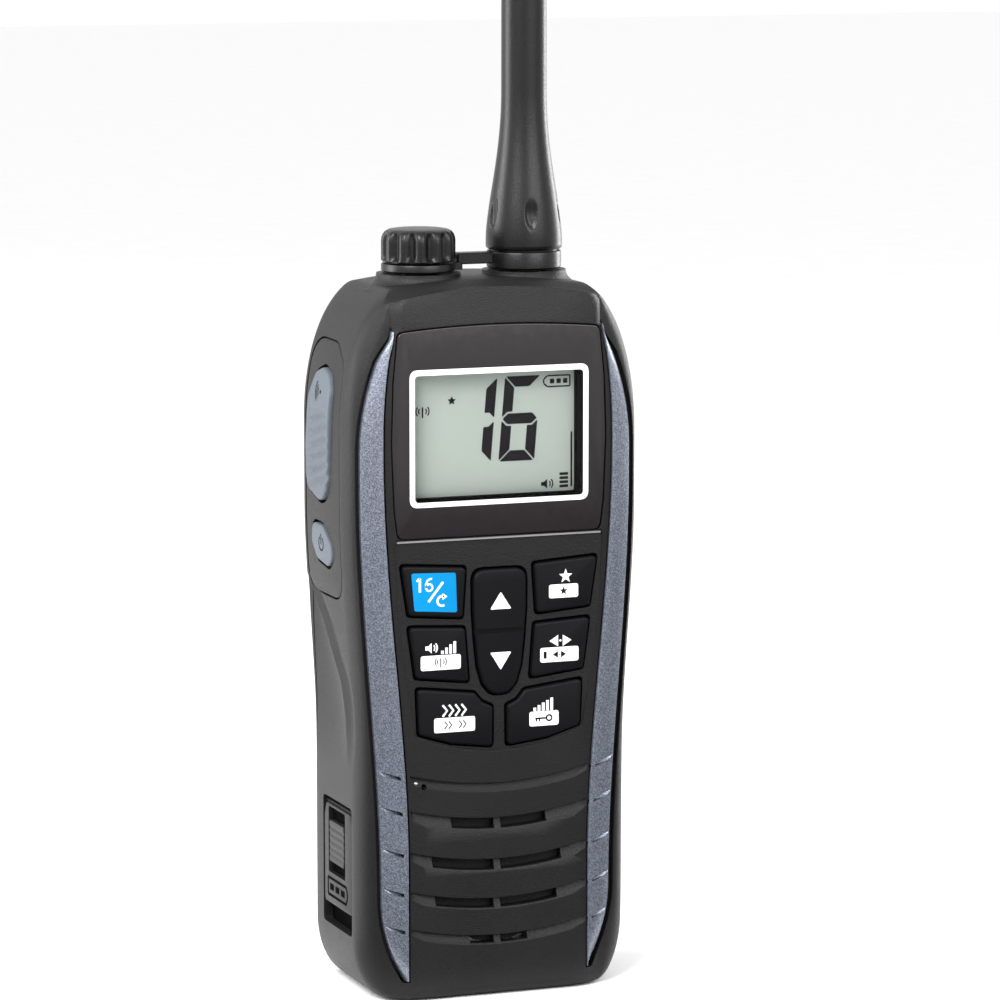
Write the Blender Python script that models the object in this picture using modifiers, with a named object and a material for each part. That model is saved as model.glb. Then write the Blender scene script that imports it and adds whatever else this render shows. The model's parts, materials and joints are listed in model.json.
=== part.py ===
"""A handheld marine radio: casing, display, keys, speaker, jack cap, antenna, battery and belt clip.

Sizes are in millimetres and are turned into metres where meshes are made. The origin is the centre of the
flat base, X points to the radio's right-hand side, the front faces -Y, and Z is up.
"""

import math

import bmesh
import bpy
from mathutils import Matrix, Vector

MM = 0.001
GAP = 0.3

# Casing
HALF_DEPTH = 15.25
BODY_HEIGHT = 132.0
WALL = 2.2
SPLIT_Y = 12.0
WAIST_HALF_WIDTH = 26.2
CHEST_HALF_WIDTH = 28.3
SHOULDER_START = 105.0
SHOULDER_HEIGHT = 28.0
FOOT_CORNER_HEIGHT = 11.5
FOOT_CORNER_WIDTH = 6.4
TOP_ROUND = 5.0
BASE_ROUND = 2.5
BEVEL_DROP = 1.75
REAR_CORNER = 4.0
SECTION_HEIGHTS = (
    0, 0.6, 1.5, 2.5, 4, 7, 11, 20, 34, 48, 58, 68, 78, 90, 105, 111, 116, 120, 123.5, 126.5, 129, 130.8, 132,
)

# Front face
INNER_WALL_Y = -HALF_DEPTH + WALL
LENS_THICKNESS = 1.0
LENS_RECESS = 1.2
WINDOW = (-17.6, 17.6, 90.9, 116.6)
KEY_PROUD = 0.45
KEY_FLANGE = 0.4
SLOT_CURVE = 0.0076
# centre height, half the opening's height, and half the opening's width of each speaker slot
SPEAKER_SLOTS = ((32.3, 1.0, 9.2), (24.6, 1.1, 12.4), (17.4, 1.0, 11.6), (10.7, 0.8, 5.6))
SPEAKER_Z = 24.9
MICROPHONE = (-15.5, 39.6)

# Left side
BUTTON_PROUD = 0.7
COVER_X = -26.15
COVER_THICKNESS = 1.6
HINGE_X = -25.25
HINGE_Z = 34.1
HINGE_BORE = 0.5

# Top
CAP_X = -10.1
ANTENNA_X = 10.45
PEDESTAL_TOP = 132.3
LOOP_TOP = 134.1
CAP_TOP = 140.5
ANTENNA_RING_TOP = 135.8
ANTENNA_TOP = 298.0

# Battery and belt clip
BAY_HALF_WIDTH = 21.1
BAY_LOW = 10.2
BAY_HIGH = 97.8
BAY_FLOOR_Y = 2.1
TRAY_WALL = 1.2
CLIP_AXIS_Y = 20.2
CLIP_AXIS_Z = 84.0

for stale in list(bpy.data.objects):
    bpy.data.objects.remove(stale, do_unlink=True)

parts = bpy.data.collections.new("handheld_radio")
cutters = bpy.data.collections.new("cutters")
bpy.context.scene.collection.children.link(parts)
bpy.context.scene.collection.children.link(cutters)


# Materials

def material(name, colour, roughness, metallic=0.0):
    made = bpy.data.materials.new(name)
    made.use_nodes = True
    shader = made.node_tree.nodes["Principled BSDF"]
    shader.inputs["Base Color"].default_value = (*colour, 1.0)
    shader.inputs["Roughness"].default_value = roughness
    shader.inputs["Metallic"].default_value = metallic
    made.diffuse_color = (*colour, 1.0)
    return made


CASING = material("casing", (0.07, 0.065, 0.062), 0.6)
LENS = material("lens", (0.02, 0.016, 0.02), 0.12)
LCD = material("lcd", (0.46, 0.52, 0.44), 0.3)
KEY = material("key", (0.015, 0.015, 0.017), 0.45)
TRIM = material("trim", (0.28, 0.32, 0.4), 0.35, 0.6)
BUTTON = material("button", (0.35, 0.4, 0.48), 0.5)
RUBBER = material("rubber", (0.02, 0.02, 0.02), 0.7)
BOARD = material("board", (0.03, 0.16, 0.07), 0.5)
STEEL = material("steel", (0.55, 0.55, 0.56), 0.3, 1.0)
BRASS = material("brass", (0.7, 0.5, 0.2), 0.3, 1.0)
PAPER = material("paper", (0.05, 0.05, 0.05), 0.9)
CELL = material("cell", (0.15, 0.25, 0.4), 0.4)


# Mesh helpers, all in millimetres

def add_object(name, bm, surface, collection=parts, origin=(0, 0, 0)):
    """Turns a millimetre bmesh into an object whose origin is at the given point."""
    bmesh.ops.translate(bm, vec=-Vector(origin), verts=bm.verts)
    bmesh.ops.scale(bm, vec=(MM, MM, MM), verts=bm.verts)
    mesh = bpy.data.meshes.new(name)
    bm.to_mesh(mesh)
    bm.free()
    made = bpy.data.objects.new(name, mesh)
    made.location = Vector(origin) * MM
    collection.objects.link(made)
    if surface:
        mesh.materials.append(surface)
    if collection is cutters:
        made.hide_render = True
        made.display_type = "WIRE"
    return made


def block(low, high):
    bm = bmesh.new()
    bmesh.ops.create_cube(bm, size=1.0)
    low = Vector(low)
    high = Vector(high)
    bmesh.ops.scale(bm, vec=high - low, verts=bm.verts)
    bmesh.ops.translate(bm, vec=(low + high) / 2, verts=bm.verts)
    return bm


AXIS_TURN = {
    "X": Matrix.Rotation(math.pi / 2, 4, "Y"),
    "Y": Matrix.Rotation(-math.pi / 2, 4, "X"),
    "Z": Matrix.Identity(4),
}


def rod(start, length, radius, axis="Z", segments=20, end_radius=None):
    """A cylinder or cone that starts at a point and runs along +X, +Y or +Z."""
    bm = bmesh.new()
    top = radius if end_radius is None else end_radius
    bmesh.ops.create_cone(bm, cap_ends=True, segments=segments, radius1=radius, radius2=top, depth=length)
    bmesh.ops.translate(bm, vec=(0, 0, length / 2), verts=bm.verts)
    bmesh.ops.transform(bm, matrix=AXIS_TURN[axis], verts=bm.verts)
    bmesh.ops.translate(bm, vec=start, verts=bm.verts)
    return bm


def closed_by(rings, cyclic=False):
    """Skins a stack of point rings of equal length, closed by end faces or into a loop."""
    bm = bmesh.new()
    loops = [[bm.verts.new(point) for point in ring] for ring in rings]
    pairs = list(zip(loops, loops[1:]))
    if cyclic:
        pairs.append((loops[-1], loops[0]))
    else:
        bm.faces.new(loops[0])
        bm.faces.new(loops[-1])
    count = len(rings[0])
    for first, second in pairs:
        for i in range(count):
            j = (i + 1) % count
            bm.faces.new((first[i], first[j], second[j], second[i]))
    bmesh.ops.recalc_face_normals(bm, faces=bm.faces)
    return bm


def prism(outline, low, high, axis="Y"):
    """Extrudes a flat outline. Along Y the outline is (x, z); along X it is (y, z)."""
    if axis == "Y":
        rings = [[(x, level, z) for x, z in outline] for level in (low, high)]
    else:
        rings = [[(level, y, z) for y, z in outline] for level in (low, high)]
    return closed_by(rings)


def frame_prism(outer, inner, low, high):
    """Extrudes the band between two (x, z) outlines of equal length along Y."""
    rings = [
        [(x, low, z) for x, z in outer],
        [(x, high, z) for x, z in outer],
        [(x, high, z) for x, z in inner],
        [(x, low, z) for x, z in inner],
    ]
    return closed_by(rings, cyclic=True)


def grown(outline, distance):
    """The outline with each side moved outwards by a distance."""
    area = sum(a[0] * b[1] - b[0] * a[1] for a, b in zip(outline, outline[1:] + outline[:1]))
    sign = 1 if area > 0 else -1
    moved = []
    for i, here in enumerate(outline):
        before = Vector(outline[i - 1])
        after = Vector(outline[(i + 1) % len(outline)])
        here = Vector(here)
        along_in = (here - before).normalized()
        along_out = (after - here).normalized()
        normal_in = Vector((along_in.y, -along_in.x)) * sign
        normal_out = Vector((along_out.y, -along_out.x)) * sign
        middle = (normal_in + normal_out).normalized()
        moved.append(tuple(here + middle * distance / middle.dot(normal_in)))
    return moved


def turned(name, profile, centre, surface, axis="Z", collection=parts, steps=24, closed=False):
    """Turns a (radius, height) profile, listed down its outer side, about an axis through the centre."""
    bm = bmesh.new()
    points = [bm.verts.new((radius, 0, height)) for radius, height in profile]
    for first, second in zip(points, points[1:]):
        bm.edges.new((first, second))
    if closed:
        bm.edges.new((points[-1], points[0]))
    made = add_object(name, bm, surface, collection)
    made.location = Vector(centre) * MM
    made.rotation_euler = AXIS_TURN[axis].to_euler()
    screw = made.modifiers.new("turn", "SCREW")
    screw.steps = steps
    screw.render_steps = steps
    screw.use_merge_vertices = True
    screw.merge_threshold = 0.00001
    screw.use_smooth_shade = True
    return made


def boolean(target, operation, other):
    step = target.modifiers.new(operation.lower(), "BOOLEAN")
    step.operation = operation
    step.solver = "EXACT"
    step.object = other


def hidden_form(name, bm):
    """A hidden object that a Boolean cuts with, joins or keeps inside."""
    return add_object(name, bm, None, cutters)


def subtract(target, name, bm):
    boolean(target, "DIFFERENCE", hidden_form(name, bm))


def unite(target, name, bm):
    boolean(target, "UNION", hidden_form(name, bm))


# Casing shape

def smooth_step(low, high, value):
    share = min(max((value - low) / (high - low), 0.0), 1.0)
    return share * share * (3 - 2 * share)


def half_width(z):
    """Half of the casing's width at a height: a waist, a wider chest, round shoulders and round feet."""
    width = WAIST_HALF_WIDTH + (CHEST_HALF_WIDTH - WAIST_HALF_WIDTH) * smooth_step(45, 90, z)
    if z > SHOULDER_START:
        share = (z - SHOULDER_START) / SHOULDER_HEIGHT
        width *= (1 - share * share) ** 0.24
    if z < FOOT_CORNER_HEIGHT:
        share = (FOOT_CORNER_HEIGHT - z) / FOOT_CORNER_HEIGHT
        width -= FOOT_CORNER_WIDTH * (1 - math.sqrt(1 - share * share))
    return width


def trim_inner(z):
    """Distance from the middle to the inner edge of the side trims."""
    return 17.5 + 4.6 * smooth_step(25, 100, z) - 0.0055 * max(z - 104, 0) ** 2


def trim_outer(z):
    """Distance from the middle to the outer edge of the side trims."""
    edge = 22.3 + 3.8 * smooth_step(20, 95, z)
    return edge - 0.01156 * max(z - 101, 0) ** 2 - 0.0192 * max(19 - z, 0) ** 2


def end_inset(z):
    """How far the front and back walls draw in at the rounded top and base."""
    if z > BODY_HEIGHT - TOP_ROUND:
        share = (z - BODY_HEIGHT + TOP_ROUND) / TOP_ROUND
        return TOP_ROUND * (1 - math.sqrt(1 - share * share * 0.98))
    if z < BASE_ROUND:
        share = (BASE_ROUND - z) / BASE_ROUND
        return BASE_ROUND * (1 - math.sqrt(1 - share * share * 0.98))
    return 0.0


def section(z, inset=0.0):
    """One horizontal ring of the casing: flat front, bevel for the trims, round corners, flat back."""
    side = half_width(z) - inset
    front = -HALF_DEPTH + end_inset(z) + inset
    back = HALF_DEPTH - end_inset(z) - inset
    outer = min(trim_outer(z), half_width(z) - 2.0) - 0.6 * inset
    inner = min(trim_inner(z) - 0.4 * inset, outer - 1.0)
    corner_front = front + BEVEL_DROP
    corner_depth = 5.0
    half = [(inner, front), (outer, corner_front)]
    for angle in (30, 60, 90):
        turn = math.radians(angle)
        across = outer + (side - outer) * math.sin(turn)
        half.append((across, corner_front + corner_depth * (1 - math.cos(turn))))
    for angle in (0, 30, 60, 90):
        turn = math.radians(angle)
        across = side - REAR_CORNER * (1 - math.cos(turn))
        half.append((across, back - REAR_CORNER * (1 - math.sin(turn))))
    ring = half + [(-x, y) for x, y in reversed(half)]
    return [(x, y, z) for x, y in ring]


def casing_form(inset=0.0):
    heights = [z for z in SECTION_HEIGHTS if inset < z < BODY_HEIGHT - inset]
    heights = [inset, *heights, BODY_HEIGHT - inset] if inset else list(SECTION_HEIGHTS)
    return closed_by([section(z, inset) for z in heights])


def body_outline(inset, low, high):
    """The casing's (x, z) silhouette, drawn in by an inset, between two heights."""
    heights = [z for z in SECTION_HEIGHTS if low < z < high]
    right = [(half_width(z) - inset, z) for z in [low, *heights, high]]
    return right + [(-x, z) for x, z in reversed(right)]


def mirrored(outline):
    return [(-x, z) for x, z in reversed(outline)]


def rectangle(left, right, low, high):
    return [(left, low), (right, low), (right, high), (left, high)]


def arc_slot(centre, half_height, half_length, steps=8):
    """A speaker slot's outline, which sags in the middle like a smile."""
    xs = [half_length * (2 * i / steps - 1) for i in range(steps + 1)]
    lower = [(x, centre - half_height + SLOT_CURVE * x * x) for x in xs]
    upper = [(x, centre + half_height + SLOT_CURVE * x * x) for x in reversed(xs)]
    return lower + upper


def lens_outline():
    arch = [(x, 124.2 - 0.0026 * x * x) for x in (19.6, 13, 6.5, 0, -6.5, -13, -19.6)]
    right = [(19.7, 85.4), (20.4, 91), (20.85, 103), (20.5, 114)]
    return right + arch + mirrored(right)


def trim_outline(inset=0.0):
    """The right-hand trim: a long strip that ends in a point at the top and at the bottom."""
    heights = (119, 112, 104, 94, 82, 70, 58, 46, 34, 22, 13, 8)
    inner = [(trim_inner(z) + inset, z) for z in heights]
    outer = [(trim_outer(z) - inset, z) for z in reversed(heights)]
    top_point = (20.2 + 0.7 * inset, 123.2 - 2 * inset)
    low_point = (17.55 + inset, 4.0 + inset)
    return [top_point, *inner, low_point, (18.1, 3.9 + inset), *outer]


# Outlines of the controls, as (x, z) on the front and as (y, z) on the left side
LEFT_TOP_KEY = [(-18.9, 80.8), (-17.5, 71.65), (-7.2, 70.75), (-6.6, 79.95)]
LEFT_MIDDLE_KEY = [(-17.5, 69.5), (-16.2, 60.1), (-6.03, 58.9), (-6.8, 68.9)]
LEFT_BOTTOM_KEY = [
    (-15.95, 58.1), (-15.6, 49.65), (-9.3, 47.7), (-1.48, 46.7), (-1.4, 54.1), (-3.4, 55.0), (-4.9, 56.8),
]
ROCKER = [
    (4.7, 76.5), (2.6, 79.1), (0, 79.6), (-2.6, 79.1), (-4.7, 76.5), (-5.35, 73.5), (-5.2, 67),
    (-4.2, 60.7), (-2.4, 57.2), (0, 56.3), (2.4, 57.2), (4.2, 60.7), (5.2, 67), (5.35, 73.5),
]
KEYS = {
    "key_channel_16": LEFT_TOP_KEY,
    "key_volume": LEFT_MIDDLE_KEY,
    "key_scan": LEFT_BOTTOM_KEY,
    "key_favourite": mirrored(LEFT_TOP_KEY),
    "key_channel": mirrored(LEFT_MIDDLE_KEY),
    "key_power_level": mirrored(LEFT_BOTTOM_KEY),
}
SIDE_PANEL = [
    (4, 120.6), (-2.2, 119.6), (-6.2, 117.6), (-8.2, 113.6), (-8.3, 100), (-8.3, 82), (-7.4, 76.2),
    (-4.9, 74), (8, 74), (10.6, 76.5), (10.9, 96), (10.6, 115), (8.6, 119.4),
]
PTT = [
    (2, 115.5), (-1.8, 114.4), (-3.7, 111.5), (-3.2, 102.5), (-2.3, 94.4), (-0.6, 91.6), (2.2, 91),
    (8.2, 92.6), (9.3, 95), (9.5, 101), (8.2, 110), (5.4, 114.4),
]
POWER = [(6.6, 86.6), (1, 86.5), (-3.4, 83.6), (-4.2, 81), (-1.5, 79.2), (4.4, 80), (7.3, 82.8)]
CHARGE_COVER = [
    (-7.9, 15.2), (7.6, 15.2), (7.7, 31.5), (6.6, 34.0), (-6.8, 34.0), (-7.9, 31.5),
]
LATCH_SLOT = rectangle(-4.1, 5.1, 21.5, 32.9)
LATCH_SLIDER = rectangle(-3.7, 4.7, 22.4, 30.9)
SCREW_BOSSES = ((-18.5, 123.5), (18.5, 123.5), (-13.0, 5.7), (13.0, 5.7))


def side_skin(name, outline, depth, surface, collection=parts):
    """A piece of the left wall's outer skin, inside a (y, z) outline."""
    piece = add_object(name, prism(outline, -32, -16, "X"), surface, collection)
    boolean(piece, "INTERSECT", OUTER_FORM)
    boolean(piece, "DIFFERENCE", INSET_FORMS[depth])
    return piece


OUTER_FORM = hidden_form("outer_form", casing_form())
CAVITY_FORM = hidden_form("cavity_form", casing_form(WALL))
SKIN_DEPTHS = (0.9, 1.0, 1.2, 1.3)
INSET_FORMS = {depth: hidden_form(f"inset_form_{depth}", casing_form(depth)) for depth in SKIN_DEPTHS}


def make_front_case():
    case = add_object("front_case", casing_form(), CASING)
    boolean(case, "DIFFERENCE", CAVITY_FORM)
    subtract(case, "rear_mouth", prism(body_outline(WALL, 2.6, 129.0), 6, 20))
    for number, (x, z) in enumerate(SCREW_BOSSES):
        unite(case, f"boss_{number}", rod((x, -13.3, z), 24.1, 2.5, "Y", 12))
    unite(case, "cap_boss", rod((CAP_X, 0, 124.0), 7.0, 5.9, "Z", 20))
    unite(case, "charge_boss", block((-24.9, -9.6, 7.6), (-22.8, 9.4, 36.6)))
    subtract(case, "back_half", block((-40, SPLIT_Y, -10), (40, 40, 150)))
    for name, x in (("cap_pedestal", CAP_X), ("antenna_pedestal", ANTENNA_X)):
        unite(case, name, rod((x, 0, 130.6), PEDESTAL_TOP - 130.6, 9.6, "Z", 24, 7.7))
    subtract(case, "lens_recess", prism(lens_outline(), -20, -HALF_DEPTH + LENS_RECESS))
    subtract(case, "window", prism(rectangle(*WINDOW), -20, -10))
    for name, outline in KEYS.items():
        subtract(case, name + "_hole", prism(grown(outline, GAP), -20, -10))
    subtract(case, "rocker_hole", prism(grown(ROCKER, GAP + 0.05), -20, -10))
    for number, (z, half_height, half_length) in enumerate(SPEAKER_SLOTS):
        subtract(case, f"speaker_slot_{number}", prism(arc_slot(z, half_height, half_length), -20, -10))
    subtract(case, "microphone_hole", rod((MICROPHONE[0], -20, MICROPHONE[1]), 10, 0.6, "Y", 8))
    cut_side(case)
    cut_top(case)
    recess_outline = trim_outline(-GAP)
    for name, outline in (("left_recess", mirrored(recess_outline)), ("right_recess", recess_outline)):
        recess = hidden_form(name, prism(outline, -20, -9))
        boolean(recess, "DIFFERENCE", INSET_FORMS[1.2])
        boolean(case, "DIFFERENCE", recess)
    for number, (x, z) in enumerate(SCREW_BOSSES):
        subtract(case, f"screw_hole_{number}", rod((x, 3.5, z), 20, 1.4, "Y", 10))


def cut_side(case):
    """The left wall's openings: soft panel, its two buttons, and the charging cover."""
    recess = hidden_form("panel_recess", prism(grown(SIDE_PANEL, GAP), -32, -16, "X"))
    boolean(recess, "DIFFERENCE", INSET_FORMS[1.3])
    boolean(case, "DIFFERENCE", recess)
    subtract(case, "ptt_hole", prism(grown(PTT, GAP + 0.1), -32, -16, "X"))
    subtract(case, "power_hole", prism(grown(POWER, GAP + 0.1), -32, -16, "X"))
    pocket = rectangle(-8.2, 8.0, 9.6, 35.3)
    subtract(case, "charge_pocket", prism(pocket, -32, COVER_X + COVER_THICKNESS + GAP, "X"))
    subtract(case, "usb_hole", block((-32, -3.6, 23.4), (-20, 0.2, 32.1)))
    subtract(case, "hinge_bore", rod((HINGE_X, -9.1, HINGE_Z), 18, HINGE_BORE, "Y", 12))


def cut_top(case):
    subtract(case, "cap_bore", rod((CAP_X, 0, 118), 22, 4.3, "Z", 24))
    subtract(case, "antenna_bore", rod((ANTENNA_X, 0, 118), 22, 3.4, "Z", 24))


def make_rear_case():
    """The back plate with the battery bay's tray behind it."""
    case = add_object("rear_case", casing_form(), CASING)
    subtract(case, "front_half", block((-40, -40, -10), (40, SPLIT_Y + GAP, 150)))
    outer = BAY_HALF_WIDTH + TRAY_WALL
    tray_low = (-outer, BAY_FLOOR_Y - TRAY_WALL, BAY_LOW - TRAY_WALL)
    tray_high = (outer, SPLIT_Y + 1.5, BAY_HIGH + TRAY_WALL)
    unite(case, "tray", block(tray_low, tray_high))
    subtract(case, "bay", block((-BAY_HALF_WIDTH, BAY_FLOOR_Y, BAY_LOW), (BAY_HALF_WIDTH, 40, BAY_HIGH)))
    subtract(case, "contact_window", block((-8.4, -5, 85.6), (8.4, 5, 92.4)))
    for number, (x, z) in enumerate(SCREW_BOSSES):
        subtract(case, f"screw_seat_{number}", rod((x, 13.6, z), 10, 2.6, "Y", 16))
        subtract(case, f"screw_pass_{number}", rod((x, 10, z), 10, 1.5, "Y", 10))


def make_casing_trims():
    outer = body_outline(WALL + 0.4, 3.0, 128.6)
    inner = body_outline(WALL + 1.2, 3.6, 127.9)
    add_object("case_seal", frame_prism(outer, inner, SPLIT_Y - 0.9, SPLIT_Y), RUBBER)
    for name, outline in (("side_trim_left", mirrored(trim_outline())), ("side_trim_right", trim_outline())):
        piece = add_object(name, prism(outline, -20, -9), TRIM)
        boolean(piece, "INTERSECT", OUTER_FORM)
        boolean(piece, "DIFFERENCE", INSET_FORMS[0.9])
    for side, (x, z) in zip(("top_left", "top_right", "bottom_left", "bottom_right"), SCREW_BOSSES):
        profile = [(0, 14.9), (2.2, 14.9), (2.2, 13.9), (1.1, 13.9), (1.1, 6.0), (0, 6.0)]
        turned(f"case_screw_{side}", profile, (x, 0, z), STEEL, "Y", steps=12)


def make_display():
    front = -HALF_DEPTH - 0.05
    add_object("display_lens", prism(grown(lens_outline(), -GAP), front, front + LENS_THICKNESS), LENS)
    add_object("lcd_panel", prism(rectangle(-17, 17, 91.3, 116.3), -12.7, -11.0), LCD)
    holder = add_object("lcd_holder", prism(rectangle(-18.6, 18.6, 89.4, 118.0), -12.5, -5.4), PAPER)
    subtract(holder, "lcd_pocket", prism(rectangle(-17.3, 17.3, 91.0, 116.6), -14, -10.7))


def make_keys():
    front = -HALF_DEPTH - KEY_PROUD
    back = INNER_WALL_Y + GAP
    for name, outline in KEYS.items():
        centre_x = sum(x for x, z in outline) / len(outline)
        centre_z = sum(z for x, z in outline) / len(outline)
        bm = prism(outline, front, back + 0.2)
        key = add_object(name, bm, KEY, origin=(centre_x, front, centre_z))
        unite(key, name + "_flange", prism(grown(outline, GAP + KEY_FLANGE), back, back + 0.5))
    pivot = (0, INNER_WALL_Y + 0.5, 67.95)
    add_object("rocker_key", prism(ROCKER, front, back + 0.5), KEY, origin=pivot)
    mat = add_object("keypad_mat", prism(rectangle(-19.6, 19.6, 46.3, 82.2), -11.2, -10.3), RUBBER)
    pads = [(sum(x for x, z in o) / len(o), sum(z for x, z in o) / len(o)) for o in KEYS.values()]
    for number, (x, z) in enumerate([*pads, (0, 73.5), (0, 62)]):
        unite(mat, f"pad_{number}", rod((x, -10.6, z), 1.1, 2.4, "Y", 12))
    add_object("key_board", block((-19.6, -9.1, 46.3), (19.6, -8.1, 82.2)), BOARD)


def make_side_controls():
    panel = side_skin("side_panel", SIDE_PANEL, 1.0, RUBBER)
    subtract(panel, "panel_ptt_hole", prism(grown(PTT, GAP), -32, -16, "X"))
    subtract(panel, "panel_power_hole", prism(grown(POWER, GAP), -32, -16, "X"))
    for name, outline, flange_x in (("ptt_button", PTT, -24.7), ("power_button", POWER, -24.9)):
        button = add_object(name, prism(outline, -32, flange_x + 0.3, "X"), BUTTON)
        proud = hidden_form(name + "_form", casing_form())
        proud.location.x = -BUTTON_PROUD * MM
        boolean(button, "INTERSECT", proud)
        unite(button, name + "_flange", prism(grown(outline, 0.9), flange_x, flange_x + 0.7, "X"))
    add_object("ptt_switch", block((-22.4, -3.0, 100.5), (-19.0, 0.5, 106.5)), PAPER)
    add_object("power_switch", block((-22.6, -3.0, 80.6), (-19.0, 0.5, 85.6)), PAPER)


def make_charge_cover():
    hinge = (HINGE_X, 0, HINGE_Z)
    back = COVER_X + COVER_THICKNESS
    cover = add_object("charge_cover", prism(CHARGE_COVER, COVER_X, back, "X"), CASING, origin=hinge)
    unite(cover, "knuckle", rod((HINGE_X, -6.7, HINGE_Z), 13.2, 0.8, "Y", 12))
    subtract(cover, "knuckle_bore", rod((HINGE_X, -12, HINGE_Z), 24, HINGE_BORE, "Y", 12))
    subtract(cover, "latch_slot", prism(LATCH_SLOT, -32, COVER_X + 1.0, "X"))
    add_object("charge_hinge_pin", rod((HINGE_X, -8.8, HINGE_Z), 17.4, HINGE_BORE - 0.1, "Y", 12), STEEL)
    slider = prism(LATCH_SLIDER, COVER_X - 0.15, COVER_X + 0.7, "X")
    add_object("charge_latch", slider, CASING, origin=(COVER_X, 0.5, 26.6))
    usb = add_object("usb_socket", block((-23.9, -3.1, 23.8), (-18.4, -0.4, 31.7)), STEEL)
    subtract(usb, "usb_mouth", block((-25, -2.7, 24.3), (-19.4, -0.8, 31.2)))


def make_jack_cap():
    cap = (CAP_X, 0, 0)
    low = LOOP_TOP + GAP
    profile = [
        (0, CAP_TOP), (4.9, CAP_TOP - 0.2), (6.2, CAP_TOP - 0.9), (6.75, CAP_TOP - 2.0), (6.8, low),
        (3.7, low), (3.7, 129.0), (2.8, 128.9), (2.8, 127.1), (3.7, 127.0), (3.7, 125.2), (3.2, 124.7),
        (0, 124.7),
    ]
    head = turned("jack_cap", profile, cap, RUBBER, steps=36)
    for number in range(12):
        angle = math.radians(30 * number + 15)
        centre = (CAP_X + 7.15 * math.cos(angle), 7.15 * math.sin(angle), low - 1)
        subtract(head, f"flute_{number}", rod(centre, 5.2, 0.95, "Z", 8))
    ring = [(3.98, 128.3), (3.98, 127.7), (3.3, 127.55), (3.1, 128.0), (3.3, 128.45)]
    turned("jack_cap_seal", ring, cap, RUBBER, closed=True)
    jack = add_object("speaker_mic_jack", rod((CAP_X, 0, 109.0), 12.6, 5.0, "Z", 24), PAPER)
    subtract(jack, "jack_hole", rod((CAP_X, 0, 111.0), 12, 1.8, "Z", 12))
    collar = [(6.8, LOOP_TOP), (6.8, 132.6), (4.3, 132.6), (4.3, LOOP_TOP)]
    tether = turned("cap_tether", collar, cap, RUBBER, closed=True)
    for name, low_corner, high_corner in (
        ("tether_tab", (-4.2, -1.6, 132.65), (-2.3, 1.6, LOOP_TOP - 0.05)),
        ("tether_riser", (-2.9, -1.6, 132.65), (-2.0, 1.6, ANTENNA_RING_TOP - 0.05)),
        ("tether_strap", (-2.9, -1.6, 134.35), (4.4, 1.6, ANTENNA_RING_TOP - 0.05)),
    ):
        unite(tether, name, block(low_corner, high_corner))
    loop_profile = [(7.0, ANTENNA_RING_TOP), (7.0, 132.6), (5.1, 132.6), (5.1, ANTENNA_RING_TOP)]
    antenna_axis = (ANTENNA_X, 0, 0)
    loop = turned("tether_loop", loop_profile, antenna_axis, None, collection=cutters, closed=True)
    boolean(tether, "UNION", loop)


def boot_radius(z):
    """The antenna boot's radius: a flared foot that narrows to a slim whip."""
    share = min(max((z - 138.5) / 20.0, 0.0), 1.0)
    slim = 4.05 - 0.25 * smooth_step(160, ANTENNA_TOP, z)
    return slim + (7.0 - slim) * 0.5 * (1 + math.cos(math.pi * share ** 0.85))


def make_antenna():
    axis = (ANTENNA_X, 0, 0)
    base = ANTENNA_RING_TOP + GAP
    heights = [ANTENNA_TOP - 6, 230, 165, 158, 154, 150, 146.5, 143, 140.5, base]
    tip = [(0, ANTENNA_TOP), (1.7, ANTENNA_TOP - 0.4), (3.1, ANTENNA_TOP - 2.0)]
    outside = [(boot_radius(z), z) for z in heights]
    inside = [(4.95, base), (4.95, 141.2), (1.7, 141.3), (1.7, ANTENNA_TOP - 8), (0, ANTENNA_TOP - 8)]
    turned("antenna_boot", tip + outside + inside, axis, RUBBER)
    turned("antenna_core", [(0, 288), (1.3, 287.6), (1.3, 141.8), (0, 141.8)], axis, BRASS, steps=10)
    nut = [(0, 140.8), (4.6, 140.8), (4.6, 134.0), (3.35, 134.0), (3.35, 139.0), (0, 139.0)]
    turned("antenna_connector", nut, axis, BRASS, steps=20)
    seal = [(4.6, 133.7), (4.6, 132.6), (3.4, 132.6), (3.4, 133.7)]
    turned("antenna_seal", seal, axis, RUBBER, closed=True)
    socket = [(0, 138.4), (3.0, 138.4), (3.0, 129.4), (4.9, 129.4), (4.9, 125.0), (0, 125.0)]
    turned("antenna_socket", socket, axis, BRASS, steps=20)


def make_sound():
    centre = (0, 0, SPEAKER_Z)
    basket = [
        (6.0, -7.5), (14.8, -7.5), (15.9, -9.5), (15.9, -12.1),
        (14.6, -12.1), (14.6, -9.9), (13.6, -8.5), (6.0, -8.5),
    ]
    turned("speaker_frame", basket, centre, STEEL, "Y", closed=True)
    cone = [(0, -9.6), (4.6, -9.6), (14.2, -10.6), (14.2, -11.4), (12.5, -11.0), (4.4, -10.1), (0, -10.6)]
    turned("speaker_cone", cone, centre, PAPER, "Y")
    turned("speaker_magnet", [(0, -5.0), (8.2, -5.0), (8.2, -7.1), (0, -7.1)], centre, STEEL, "Y")
    turned("speaker_cloth", [(0, -12.4), (15.2, -12.4), (15.2, -12.7), (0, -12.7)], centre, PAPER, "Y")
    spot = (MICROPHONE[0], 0, MICROPHONE[1])
    boot = [(0, -8.6), (2.8, -8.6), (2.8, -12.1), (2.2, -12.1), (2.2, -9.4), (0, -9.4)]
    turned("microphone_boot", boot, spot, RUBBER, "Y", steps=16)
    turned("microphone", [(0, -9.8), (1.8, -9.8), (1.8, -11.8), (0, -11.8)], spot, STEEL, "Y", steps=16)


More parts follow.
